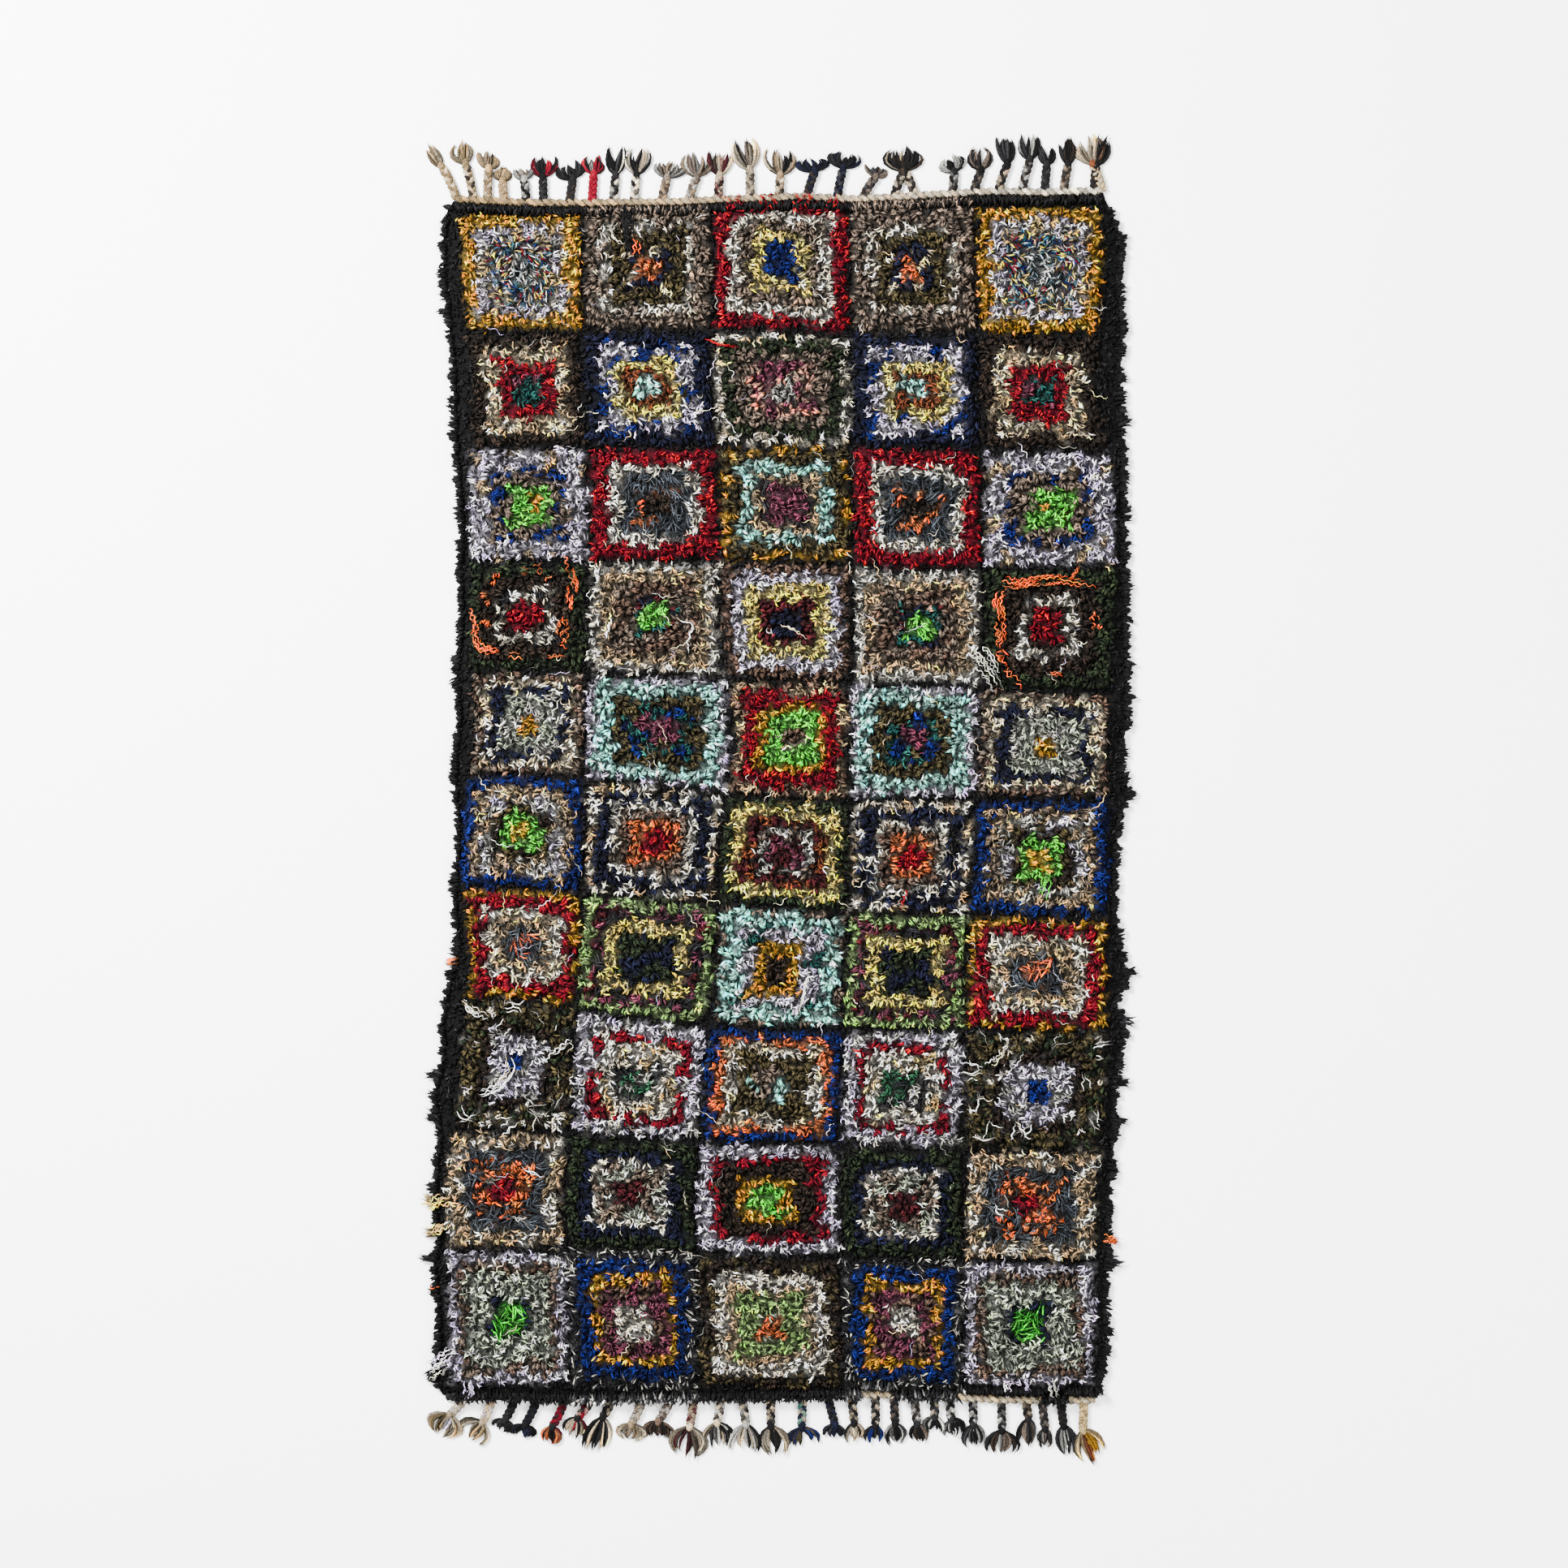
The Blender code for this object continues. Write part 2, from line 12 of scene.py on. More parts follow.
import bpy
import numpy as np
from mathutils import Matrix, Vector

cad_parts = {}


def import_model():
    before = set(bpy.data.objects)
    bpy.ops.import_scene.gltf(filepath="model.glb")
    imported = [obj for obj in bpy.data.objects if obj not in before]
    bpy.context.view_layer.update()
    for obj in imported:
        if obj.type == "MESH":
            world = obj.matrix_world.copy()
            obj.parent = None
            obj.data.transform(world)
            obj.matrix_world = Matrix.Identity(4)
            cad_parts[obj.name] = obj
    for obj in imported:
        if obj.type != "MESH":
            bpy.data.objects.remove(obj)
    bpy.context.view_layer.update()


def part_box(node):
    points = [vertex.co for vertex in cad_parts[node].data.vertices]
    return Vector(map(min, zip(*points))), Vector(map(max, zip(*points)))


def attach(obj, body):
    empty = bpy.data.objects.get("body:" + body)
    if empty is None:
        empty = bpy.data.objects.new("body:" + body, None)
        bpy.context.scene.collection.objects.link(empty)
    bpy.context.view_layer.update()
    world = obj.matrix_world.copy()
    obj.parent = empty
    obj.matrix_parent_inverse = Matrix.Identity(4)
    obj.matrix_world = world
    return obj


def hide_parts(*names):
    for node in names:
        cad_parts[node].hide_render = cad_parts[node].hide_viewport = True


MM = 0.001
TINY = 1e-9               # keeps a division from ending at zero
TURN = 2.0 * np.pi        # a whole one
SEED = 23

# Camera: straight above the rug, with a long lens
VIEW_WIDTH = 2801.4       # of the photograph's square frame, on the floor
VIEW_CENTRE = (8.7, 24.65)   # X and Y
CAMERA_HEIGHT = 10000.0
CAMERA_SIGHT = 100.0      # metres
SENSOR_WIDTH = 36.0

# Studio, in metres
FLOOR_REACH = 12.0
FLOOR_COLOUR = (0.86, 0.86, 0.86, 1.0)
FLOOR_ROUGHNESS = 0.8
SKY_COLOUR = (1.0, 1.0, 1.0, 1.0)
SKY_LIGHT = 2.2
Light = namedtuple("Light", "name place size power")
LIGHTS = (Light("key", (-3.2, 2.6, 4.2), 2.0, 2650.0), Light("fill", (3.6, -2.0, 4.4), 3.5, 600.0))

# How Blender's own tone curve shows the light of a strand: it draws colours to grey and flattens
# bright ones, so the dyes are deeper than the colours that are seen
TONE_BLEND = 0.25
TONE_SPREAD = 0.34
TONE_HALF = 0.57          # light that is shown half bright
TONE_POWER = 0.93
STRAND_LIGHT = 2.7        # light of a strand in this studio where its base colour is 1
DARKEST_YARN = 0.0006
BRIGHTEST_YARN = 0.90
BRIGHTEST_SEEN = 246.0    # in sRGB, out of 255

# Matt finish of yarn, and the weave's waves: warps about 7 mm apart and wefts about 4.5 mm apart
SPECULAR = 0.05
PILE_ROUGHNESS = 0.9
WEAVE_ROUGHNESS = 0.92
WARP_SCALE = 45.0
WEFT_SCALE = 70.0
WEAVE_DISTORTION = 0.6
FIBRE_DETAIL = 2.0
# painted shade between the fibres and in the weave's dips: low values of the relief darken the colour
FIBRE_PAINTED_SHADE = {"From Min": 0.36, "From Max": 0.62, "To Min": 0.18, "To Max": 1.20}
WEAVE_PAINTED_SHADE = {"To Min": 0.45, "To Max": 1.15}
WEAVE_BUMP = {"Strength": 0.7, "Distance": 0.0012}
FIBRE_BUMP = 0.6
# each finish's noise scale drives the painted shade between its fibres and their bumps
YarnFinish = namedtuple("YarnFinish", "name speckle_scale bump_height")
PILE_FINISH = YarnFinish("pile_yarn", 420.0, 0.002)
BED_FINISH = YarnFinish("pile_bed", 260.0, 0.004)
FRINGE_FINISH = YarnFinish("fringe_yarn", 520.0, 0.0015)

# Woven ground and the bed of pile on it
FIELD_WIDTH = 1200.0      # of the pile, roughly: a grid starts with these and is then fitted
FIELD_LENGTH = 2130.0
GRID_ROUNDS = 4           # in so many rounds
GROUND_THICKNESS = 2.4
GROUND_LIFT = 0.1         # of its underside over the floor
GROUND_LIGHT = 0.8
GROUND_CELL = 30.0
GROUND_INSET = 12.0       # from the outline of the pile to the ground's side edges
BED_CELL = 13.5
BED_INSET = 4.0
BED_PAINTED_LIGHT = 0.46          # painted shade: the bed's colour is darkened to this share, for the shade between the tufts
END_INSET = 0.5           # from the pile's ends to the ground's and the first knots
BED_UNDER_CORD = 5.0      # the bed goes this far under the heading cords
BED_HEIGHT = 13.0
BED_RIM = 38.0            # the bed reaches its full height this far in from the outline
BED_LUMPS = 2.4
SEAM_DIP = 6.0
SEAM_START = 0.84         # the bed begins to sink at this share of half a square
LUMP_SIZE = 32.0

# Squares, and the rings in them
COLUMNS = 5
MIDDLE_COLUMN = 2         # the middles of the squares are measured along this column and row
MIDDLE_ROW = 5
SEAM_ACROSS = 0.95        # black pile between the squares begins at these shares of half a square
SEAM_ALONG = 0.94
SEAM_WAVER = 0.03
RING_WAVER = 0.045        # the rings' edges wander by this share of half a square
RING_WAVER_SIZE = 28.0
RING_DRIFT = 0.055        # and the rings drift off the square's middle by this share
DRIFT_SIZE = 120.0
ROUNDNESS = 16.0          # exponent of the squares' corners
PATCH_SIZE = 32.0         # of the patches where one yarn of a mix is used
PATCH_CONTRAST = 0.36
PATCH_SPECKLE = 0.10

# Light and colour of strands
SHADE_BLEND = 0.65        # below 1 a strand keeps near one of its yarn's shades
SHADE_SIZE = 40.0
SHADE_DRIFT = 0.07        # how much the light changes slowly over the rug
TUFT_UNEVEN = 0.12        # and from tuft to tuft
TUFT_LIGHTS = (0.3, 1.4)  # the least and the most, and so in the next line
STRAND_LIGHTS = (0.4, 1.5)
PAINTED_ROOT_LIGHT = 0.38         # painted shade: light painted into a strand's colour at its root
PAINTED_ROOT_SHADE_PART = 0.6      # part of a strand over which that painted shade fades to full light

# Form of a strand
STRAND_SIDES = 3
ROOT_WIDTH = 0.75         # share of its width at the root
MIDDLE_SWELL = 0.45       # share added in its middle
SWELL_PART = 1.1          # above 1 the swell ends before the tip
TIP_LOSS = 0.25           # share lost at the tip
RISE_START = 0.06         # its rise starts at this part of a half wave
RISE_SPAN = 0.74          # and covers this much of it
CURL_RISE = 0.6           # height of a curl, as a share of its swing to the side
LOWEST_POINT = 0.05       # over the floor
MAP_FILL = 0.86           # part of its cell on the map that a tube fills
MAP_MARGIN = 0.07         # round it, as a share of the cell
ROOT_CELL = 0.9           # part of a ring's height on the map that the face over its root has

# Tufts of pile: knots in rows, each with a few strands side by side
MOST_TRIANGLES = 190000   # in one piece of pile
KNOTS_ACROSS = (-645.0, 645.0)    # stretches that the rows of knots are laid over
KNOTS_ALONG = (-1075.0, 1085.0)
TUFT_ACROSS = 12.0        # pitch along a row of knots
TUFT_ALONG = 12.4         # pitch of the rows
TUFT_JITTER = 0.42        # of the pitch
TUFT_HALF_WIDTH = 5.2
TUFT_TURN = 0.55          # how far a tuft lies from the way its neighbours do
TUFT_FAN = 0.5            # how far a tuft's strands turn away from each other
ROOT_SET_BACK = 0.48      # of a strand's length, from its yarn's place to its root
OUTWARD = 0.45            # pull on the tufts: out of their square, down the rug and along a flow
DOWNWARD = 0.40
FLOW = 0.9
FLOW_SIZE = 95.0
RIM_PULL = 2.0            # how much stronger the first is past the squares than at their edges
RIM_ZONE = (40.0, 5.0)    # tufts get lower and shorter between these distances from the outline
RIM_LOWER = 0.5           # by these shares
RIM_SHORTER = 0.2

# Shapes of pile yarn. strands is how many a tuft has, stand the height over the bed, flat the
# thickness as a share of the width, and curl the swing of the waves to either side. stray is how
# far a tuft's strands fan out, and uneven how much their light differs.
Kind = namedtuple("Kind", "segments length width flat curl waves stand strands stray uneven")
KINDS = {
    "curly": Kind(4, 16.5, 3.3, 0.9, 2.7, 1.3, 10.0, 2.8, 1.00, 0.13),
    "crinkly": Kind(3, 15.0, 3.8, 0.9, 1.9, 1.0, 10.0, 3.1, 0.85, 0.13),
    "fluffy": Kind(2, 16.5, 5.6, 0.8, 1.2, 0.6, 10.0, 3.0, 0.65, 0.14),
    "strip": Kind(3, 18.0, 4.8, 0.5, 1.4, 0.5, 9.5, 3.0, 0.55, 0.16),
    "marled": Kind(3, 18.0, 2.9, 0.9, 1.9, 1.0, 10.0, 3.6, 0.60, 0.13),
    "combed": Kind(3, 32.0, 3.0, 0.7, 2.2, 0.6, 8.5, 2.5, 0.35, 0.20),
    "long": Kind(7, 42.0, 2.2, 0.9, 3.4, 2.2, 12.0, 2.0, 0.60, 0.15),
    "black": Kind(2, 14.0, 4.4, 0.8, 2.0, 0.6, 6.0, 2.3, 0.90, 0.30),
}

# What is drawn at random for each strand. bend is the spread of its turn from root to tip, and the
# tufts' values are shares of their kind's
Look = namedtuple("Look", "width curl waves stand bend")
TUFT_LOOK = Look((0.7, 1.3), (0.3, 1.4), (0.6, 1.4), (0.7, 1.3), 0.6)
TUFT_LENGTHS = (0.7, 1.3)

# Black pile that leans over the heading cords: side of the rug, how far it reaches past the pile,
# and its look
EndPile = namedtuple("EndPile", "end side reach look")
END_PILES = (
    EndPile("top", 1, (0.0, 7.0), Look((3.4, 5.6), (0.5, 2.0), (0.4, 1.1), (11.0, 16.0), 0.4)),
    EndPile("bottom", -1, (14.0, 24.0), Look((3.4, 5.6), (0.5, 2.0), (0.4, 1.1), (18.0, 25.0), 0.4)),
)
END_PILE_STRETCH = (-578.0, 574.0)
END_PILE_PITCH = 1.3
END_PILE_SHIFT = 2.0
END_PILE_LENGTH = 19.0
END_PILE_LENGTHS = (0.8, 1.2)
END_PILE_LEAN = 0.35
END_PILE_FLAT = 0.8
END_PILE_SEGMENTS = 2
BARE_REACH = 0.15         # share of its reach that it has where the lower cord is bare
BARE_CORD = ((148.0, 206.0), (319.0, 470.0), (515.0, 595.0))   # the stretches where it is
EndYarn = namedtuple("EndYarn", "end left right yarn part")
END_YARNS = (
    EndYarn("bottom", -371.0, -145.0, "pepper", 0.9), EndYarn("bottom", 116.0, 329.0, "pepper", 0.9),
    EndYarn("top", -340.0, -128.0, "taupe", 0.6), EndYarn("top", 134.0, 342.0, "taupe", 0.7),
)

# Black locks along the side rims
RIM_STRETCH = (-1052.0, 1056.0)
RIM_PITCH = 11.0
RIM_SHIFT = 3.5
RIM_REACH = 6.0           # past the outline, with lumps and a stray part
RIM_LUMP = 3.0
RIM_LUMP_SIZE = 30.0
RIM_STRAY = 2.8
RIMS_APART = 300.0        # keeps the lumps of the two rims unlike
RIM_DEPTH = 11.0          # of their roots inside the outline
RIM_DEPTHS = (0.7, 1.2)
RIM_HALF_WIDTH = 7.0
RIM_TIP_HALF_WIDTH = 3.6
RIM_LEAN = 8.0
RIM_STRANDS = 8
RIM_LENGTHS = (0.75, 1.05)
RIM_LOOK = Look((3.6, 6.4), (0.2, 1.6), (0.5, 1.2), (5.0, 11.0), 0.25)
RIM_FLAT = 0.8
RIM_SEGMENTS = 3

# Long locks, and strands that lie loose over the pile. waves is the length of one wave here
LOCK_SEGMENTS = 11
LOCK_WIDTH = 2.1
LOCK_WIDTHS = (0.75, 1.25)
LOCK_PARTS = (0.6, 1.1)
LOCK_WAVES = (10.0, 16.0)
LOCK_CURL = (1.0, 3.2)
LOCK_STAND = (14.0, 17.0)
LOCK_RISE = (0.12, 0.72)  # start and span, as for a strand
LOCK_UNEVEN = 0.14
LOOSE_FLAT = 0.9
STRAY_SEGMENTS = 14
STRAY_LENGTH = (20.0, 75.0)
STRAY_TURN = 1.3
STRAY_WIDTH = 1.15
STRAY_LOOK = Look((0.8, 1.4), (1.5, 4.0), (12.0, 22.0), (10.0, 13.5), 1.6)
STRAY_ROW_HEIGHT = 205.0
STRAY_YARNS = ("white", "cream", "lilac", "white", "silver")
STRAYS_IN_ROWS = (        # for each row of squares, how many start in each column
    (7, 6, 4, 5, 8), (8, 9, 10, 9, 8), (7, 5, 3, 6, 7), (3, 10, 6, 10, 4), (8, 6, 4, 8, 8),
    (8, 10, 4, 10, 7), (6, 5, 5, 5, 7), (8, 9, 5, 8, 8), (7, 8, 4, 6, 7), (8, 3, 7, 3, 8),
)

# Heading cords: two plies twisted round each other
CORD_GAP = 0.75           # from the pile to the cord, as in the solid
CORD_WIDTH = 14.0
CORD_PLY = 9.2            # thickness of a ply
CORD_SWING = 4.0          # of a ply's middle to either side of the cord's
CORD_RISE = 0.85          # of that, up and down
CORD_SETTLE = 0.4         # the cord's middle is this far below half its width
CORD_UNEVEN = 0.10
CORD_PAINTED_SHADE = 0.55         # painted shade: light painted into a ply's colour where it is lowest
CORD_PAINTED_SHADE_TURN = (-0.9, 0.5)   # from there to full light, as sines of its turn
CORD_LIGHTS = (0.2, 1.1)  # the least and the most of that painted light with its random unevenness
CORD_TURN = 29.0          # length of one whole turn
CORD_STEP = 5.0
CORD_FLAT = 0.95
CORD_SIDES = 6

# Braided tassels: three plies plaited, a knot and a brush of loose ends
BRAID_PLY = 7.8
BRAID_SWING = 5.3
BRAID_RISE = 2.0
BRAID_TURN = 25.0
BRAID_STEPS = 16
BRAID_BEND = 1.4          # above 1 the braid leaves the cord straight and leans over later
BRAID_LEVEL = 6.2         # height of its middle over the floor
BRAID_FLECKS = 0.75       # how far a ply's flecks go to the colour of the next one
BRAID_FLAT = 0.9
BRAID_SIDES = 5
KNOT_PROFILE = (          # place along the knot and width there
    (-7.0, 7.0), (-4.5, 12.5), (0.0, 14.0), (4.5, 12.5), (8.0, 8.0), (10.0, 4.0),
)
KNOT_FLAT = 0.85
KNOT_SIDES = 7
BRUSH_FINGERS = 5         # a brush parts into these, and each one curls its own way
BRUSH_STRANDS = 20
BRUSH_WIDTHS = (5.0, 8.4, 9.0, 7.6, 4.8, 0.0)   # of a strand, from root to tip
BRUSH_SPREAD = (0.75, 1.15)    # shares of those
BRUSH_FLAT = 0.7
BRUSH_ROOT = 2.0          # half of a brush's opening at its root
BRUSH_FLARE = 2.1         # of a brush's width, over the spread in the charts
BRUSH_FLARE_POWER = 0.8
BRUSH_CLOSE = (0.58, 0.90)     # part of a half wave that its opening follows: above 0.5 the tips close again
BRUSH_SWING = (0.4, 2.2)
BRUSH_WAVES = (0.4, 0.9)
BRUSH_REACHES = (0.84, 1.0)    # of the strands in a finger
BRUSH_TOPS = (2.8, 9.0)   # heights of the strands' tips in the middle of the brush
BRUSH_CROWN = 0.4         # share of that which the outermost fingers lack
BRUSH_FALL = 0.6          # part of its length in which a strand comes down to that height
BRUSH_MIX = 0.3           # chance that a strand has the yarn of the next finger
BRUSH_UNEVEN = 0.30
# painted shade: light painted into a brush strand's colour at its root
BRUSH_PAINTED_ROOT_LIGHT = 0.6
FINGER_PLACE = 0.09       # a finger's middle moves by up to this share of the brush's half width
FINGER_SPREAD = 0.34      # of its strands to either side at its root, as a share of the same
FINGER_CLOSE = 0.75       # how much of that is gone at its tip
FINGER_CURL = 4.0
FINGER_REACH = (0.72, 1.0)
FRINGE_PAINTED_SHADE = 0.87       # painted shade: the cords and braids lie open to the light, so their colours are darkened to this share
FRINGE_UNEVEN = 0.08

# Yarns: shape and shades, the shades given in sRGB out of 255
Yarn = namedtuple("Yarn", "kind shades")
YARNS = {
    "black": Yarn("black", ((16, 15, 16), (30, 28, 28), (50, 48, 50))),
    "espresso": Yarn("fluffy", ((56, 45, 38), (40, 33, 29), (72, 58, 48))),
    "navy": Yarn("strip", ((28, 30, 58), (20, 22, 42), (40, 44, 76))),
    "royal": Yarn("crinkly", ((28, 46, 134), (18, 30, 102), (46, 66, 158))),
    "red": Yarn("crinkly", ((174, 12, 52), (144, 8, 40), (196, 28, 62))),
    "crimson": Yarn("strip", ((152, 12, 46), (124, 10, 36), (176, 28, 58))),
    "orange": Yarn("crinkly", ((228, 138, 88), (208, 108, 60), (240, 168, 118))),
    "salmon": Yarn("combed", ((235, 150, 115), (225, 120, 85), (240, 175, 145))),
    "gold": Yarn("crinkly", ((222, 175, 50), (196, 144, 36), (236, 205, 88))),
    "pale_yellow": Yarn("curly", ((238, 224, 146), (220, 200, 120), (246, 238, 184))),
    "yellow": Yarn("crinkly", ((236, 204, 60), (220, 180, 50), (242, 220, 100))),
    "lime": Yarn("crinkly", ((128, 230, 96), (94, 204, 70), (168, 242, 128))),
    "green": Yarn("combed", ((66, 168, 58), (44, 136, 44), (104, 198, 84))),
    "pistachio": Yarn("crinkly", ((166, 196, 128), (138, 168, 102), (192, 216, 158))),
    "forest": Yarn("fluffy", ((48, 60, 40), (36, 46, 32), (64, 76, 50))),
    "olive": Yarn("fluffy", ((88, 78, 50), (70, 62, 42), (108, 98, 66))),
    "pine": Yarn("crinkly", ((54, 122, 86), (38, 92, 64), (84, 150, 110))),
    "teal": Yarn("crinkly", ((38, 104, 98), (28, 80, 78), (60, 130, 118))),
    "mint": Yarn("fluffy", ((176, 216, 206), (150, 196, 188), (204, 232, 224))),
    "sage": Yarn("curly", ((194, 200, 186), (156, 162, 146), (222, 227, 214))),
    "white": Yarn("curly", ((242, 236, 222), (214, 206, 192), (246, 243, 234))),
    "cream": Yarn("curly", ((234, 222, 196), (212, 196, 164), (244, 236, 216))),
    "lilac": Yarn("curly", ((222, 216, 228), (190, 182, 202), (240, 236, 242))),
    "silver": Yarn("curly", ((200, 198, 192), (164, 164, 158), (226, 224, 218))),
    "straw": Yarn("curly", ((222, 202, 156), (196, 174, 128), (238, 222, 184))),
    "beige": Yarn("curly", ((202, 182, 148), (174, 152, 120), (224, 206, 176))),
    "tan": Yarn("fluffy", ((182, 156, 124), (154, 130, 102), (206, 184, 152))),
    "taupe": Yarn("fluffy", ((132, 117, 104), (106, 92, 82), (158, 142, 126))),
    "cocoa": Yarn("fluffy", ((116, 92, 78), (90, 71, 60), (142, 116, 100))),
    "slate": Yarn("combed", ((82, 88, 96), (60, 66, 74), (112, 118, 124))),
    "mauve": Yarn("crinkly", ((140, 72, 96), (112, 54, 76), (168, 100, 122))),
    "maroon": Yarn("fluffy", ((88, 30, 38), (66, 24, 30), (112, 42, 50))),
    "rust": Yarn("crinkly", ((150, 82, 50), (120, 62, 38), (176, 108, 72))),
    "peach": Yarn("fluffy", ((190, 150, 134), (166, 124, 110), (210, 174, 160))),
    "charcoal": Yarn("combed", ((50, 50, 53), (36, 36, 40), (70, 70, 74))),
    "ecru": Yarn("curly", ((214, 200, 174), (176, 158, 130), (232, 222, 202))),
    "khaki": Yarn("curly", ((190, 164, 120), (154, 130, 92), (212, 190, 150))),
    "long_white": Yarn("long", ((232, 229, 220), (206, 203, 195), (244, 242, 236))),
    "confetti": Yarn("marled", ((222, 202, 156), (60, 124, 146), (96, 150, 160), (160, 24, 56), (34, 54, 130),
                                (238, 224, 146), (224, 222, 218), (180, 184, 190))),
    "flecked": Yarn("marled", ((230, 228, 222), (206, 206, 202), (150, 156, 158), (44, 50, 58),
                               (116, 144, 150))),
    "pepper": Yarn("marled", ((34, 34, 38), (56, 56, 60), (202, 200, 194))),
}

# Rings that two or more yarns share in patches: the yarns and the part that each takes, in percent
MIXES = {
    "white_taupe": "white 62, taupe 38",
    "navy_cream": "navy 60, cream 40",
    "cream_tan": "cream 55, beige 45",
    "green_mauve": "teal 70, mauve 30",
    "lilac_royal": "lilac 62, royal 38",
    "white_cream": "white 60, cream 40",
    "mauve_peach": "mauve 50, peach 30, taupe 20",
    "lilac_beige": "lilac 80, beige 20",
    "royal_taupe": "royal 58, taupe 42",
    "orange_slate": "orange 56, slate 44",
    "gold_olive": "gold 66, olive 34",
    "orange_espresso": "orange 10, espresso 90",
    "white_silver": "white 55, silver 45",
    "white_charcoal": "white 84, charcoal 16",
    "teal_maroon": "teal 45, maroon 30, navy 25",
    "taupe_cocoa": "taupe 55, cocoa 45",
    "navy_white": "navy 80, white 20",
    "beige_taupe": "taupe 36, beige 46, silver 18",
    "silver_lilac": "beige 24, silver 46, lilac 30",
    "pine_pepper": "silver 22, pine 60, charcoal 18",
    "sage_silver": "sage 60, silver 40",
    "royal_teal": "royal 40, teal 34, olive 26",
    "lime_gold": "lime 45, gold 55",
    "beige_cocoa": "beige 52, cocoa 48",
    "cream_cocoa": "cream 66, cocoa 34",
    "white_beige": "white 60, beige 40",
    "black_navy": "white 14, navy 62, black 24",
    "maroon_rust": "maroon 55, rust 45",
    "silver_taupe": "silver 60, taupe 40",
    "mauve_maroon": "mauve 60, maroon 40",
    "salmon_slate": "salmon 66, slate 34",
    "mauve_charcoal": "charcoal 28, mauve 38, maroon 34",
    "navy_forest": "navy 45, forest 55",
    "lilac_teal": "lilac 80, teal 20",
    "lilac_straw": "straw 24, lilac 52, silver 24",
    "olive_white": "white 16, olive 42, forest 20, espresso 10, long_white 12",
    "lilac_silver": "lilac 70, silver 30",
    "crimson_lilac": "crimson 78, lilac 22",
    "white_straw": "white 72, straw 28",
    "charcoal_white": "charcoal 60, white 40",
    "taupe_mint": "taupe 60, mint 40",
    "beige_white": "beige 62, white 38",
    "orange_white": "slate 26, orange 52, charcoal 12, long_white 10",
    "crimson_charcoal": "crimson 86, charcoal 14",
    "taupe_sage": "taupe 62, sage 38",
    "navy_sage": "navy 60, sage 40",
    "mauve_cocoa": "mauve 62, cocoa 38",
    "olive_espresso": "olive 50, espresso 50",
    "orange_sage": "orange 72, sage 28",
}

# The squares of each row, from the top of the rug down: those of the outer columns, of the columns
# next to them and of the middle column. A ring is its yarn or mix and its outer reach, in percent of
# half the square, and the rings run inwards.
Row = namedtuple("Row", "outer inner middle")
ROWS = (
    Row(outer="gold 100, lilac_straw 75, straw 56, confetti 53, flecked 24",
        inner="taupe 100, white_taupe 72, olive 56, navy_cream 34, orange 18",
        middle="red 100, white 76, taupe 60, pale_yellow 42, royal 24"),
    Row(outer="espresso 100, cream_tan 74, red 49, green_mauve 26",
        inner="navy 100, lilac_royal 78, pale_yellow 51, rust 32, mint 20",
        middle="white_cream 100, forest 84, taupe 68, mauve_peach 45, silver 18"),
    Row(outer="lilac_beige 100, royal_taupe 63, taupe 46, lime 34, lime_gold 15",
        inner="red 100, white 70, slate 54, orange_slate 34, espresso 20",
        middle="gold_olive 100, olive 85, mint 68, beige 50, charcoal 35, mauve 28"),
    Row(outer="forest 100, orange_espresso 74, espresso 66, white_charcoal 48, espresso 33, red 25",
        inner="white_silver 100, beige 80, taupe_cocoa 62, teal_maroon 31, lime 22",
        middle="cocoa 100, lilac 82, pale_yellow 63, maroon 38, navy 20"),
    Row(outer="taupe_cocoa 100, cream 85, navy_white 71, sage_silver 55, gold 19",
        inner="lilac 100, mint 86, olive 60, royal_teal 42, mauve 20",
        middle="beige_cocoa 100, red 82, gold 60, lime 46, cream_cocoa 20"),
    Row(outer="royal 100, beige_taupe 80, silver_lilac 62, olive_espresso 44, lime 31, yellow 15",
        inner="white_beige 100, black_navy 84, white_silver 63, taupe_cocoa 50, orange 35, red 21",
        middle="forest 100, pale_yellow 84, maroon_rust 64, silver_taupe 45, mauve_maroon 28"),
    Row(outer="gold 100, crimson 87, white_cream 68, beige 49, slate 34, salmon_slate 20",
        inner="pistachio 100, mauve_charcoal 81, charcoal 68, pale_yellow 61, navy_forest 40",
        middle="taupe 100, mint 90, lilac_teal 66, gold 43, espresso 22"),
    Row(outer="olive_white 100, espresso 62, lilac_silver 50, royal 18",
        inner="lilac_silver 100, crimson_lilac 74, white_straw 60, charcoal_white 34, pine_pepper 25",
        middle="royal 100, orange 82, white_cream 70, olive 53, taupe_mint 30"),
    Row(outer="beige_white 100, slate 67, orange_white 48, crimson_charcoal 20",
        inner="forest 100, navy 76, white 60, taupe_sage 50, maroon 20",
        middle="lilac 100, crimson 76, espresso 63, gold 40, lime 25"),
    Row(outer="lilac 100, taupe_cocoa 80, sage 68, navy_sage 34, green 25",
        inner="pepper 100, royal 84, gold 66, mauve_cocoa 52, white 22",
        middle="olive_espresso 100, white 77, beige 58, pistachio 47, orange_sage 20"),
)
# Squares with pile of another yarn than black round them: row and column, from 0
ROUND_SQUARES = {(9, 1): "pepper", (9, 3): "pepper"}

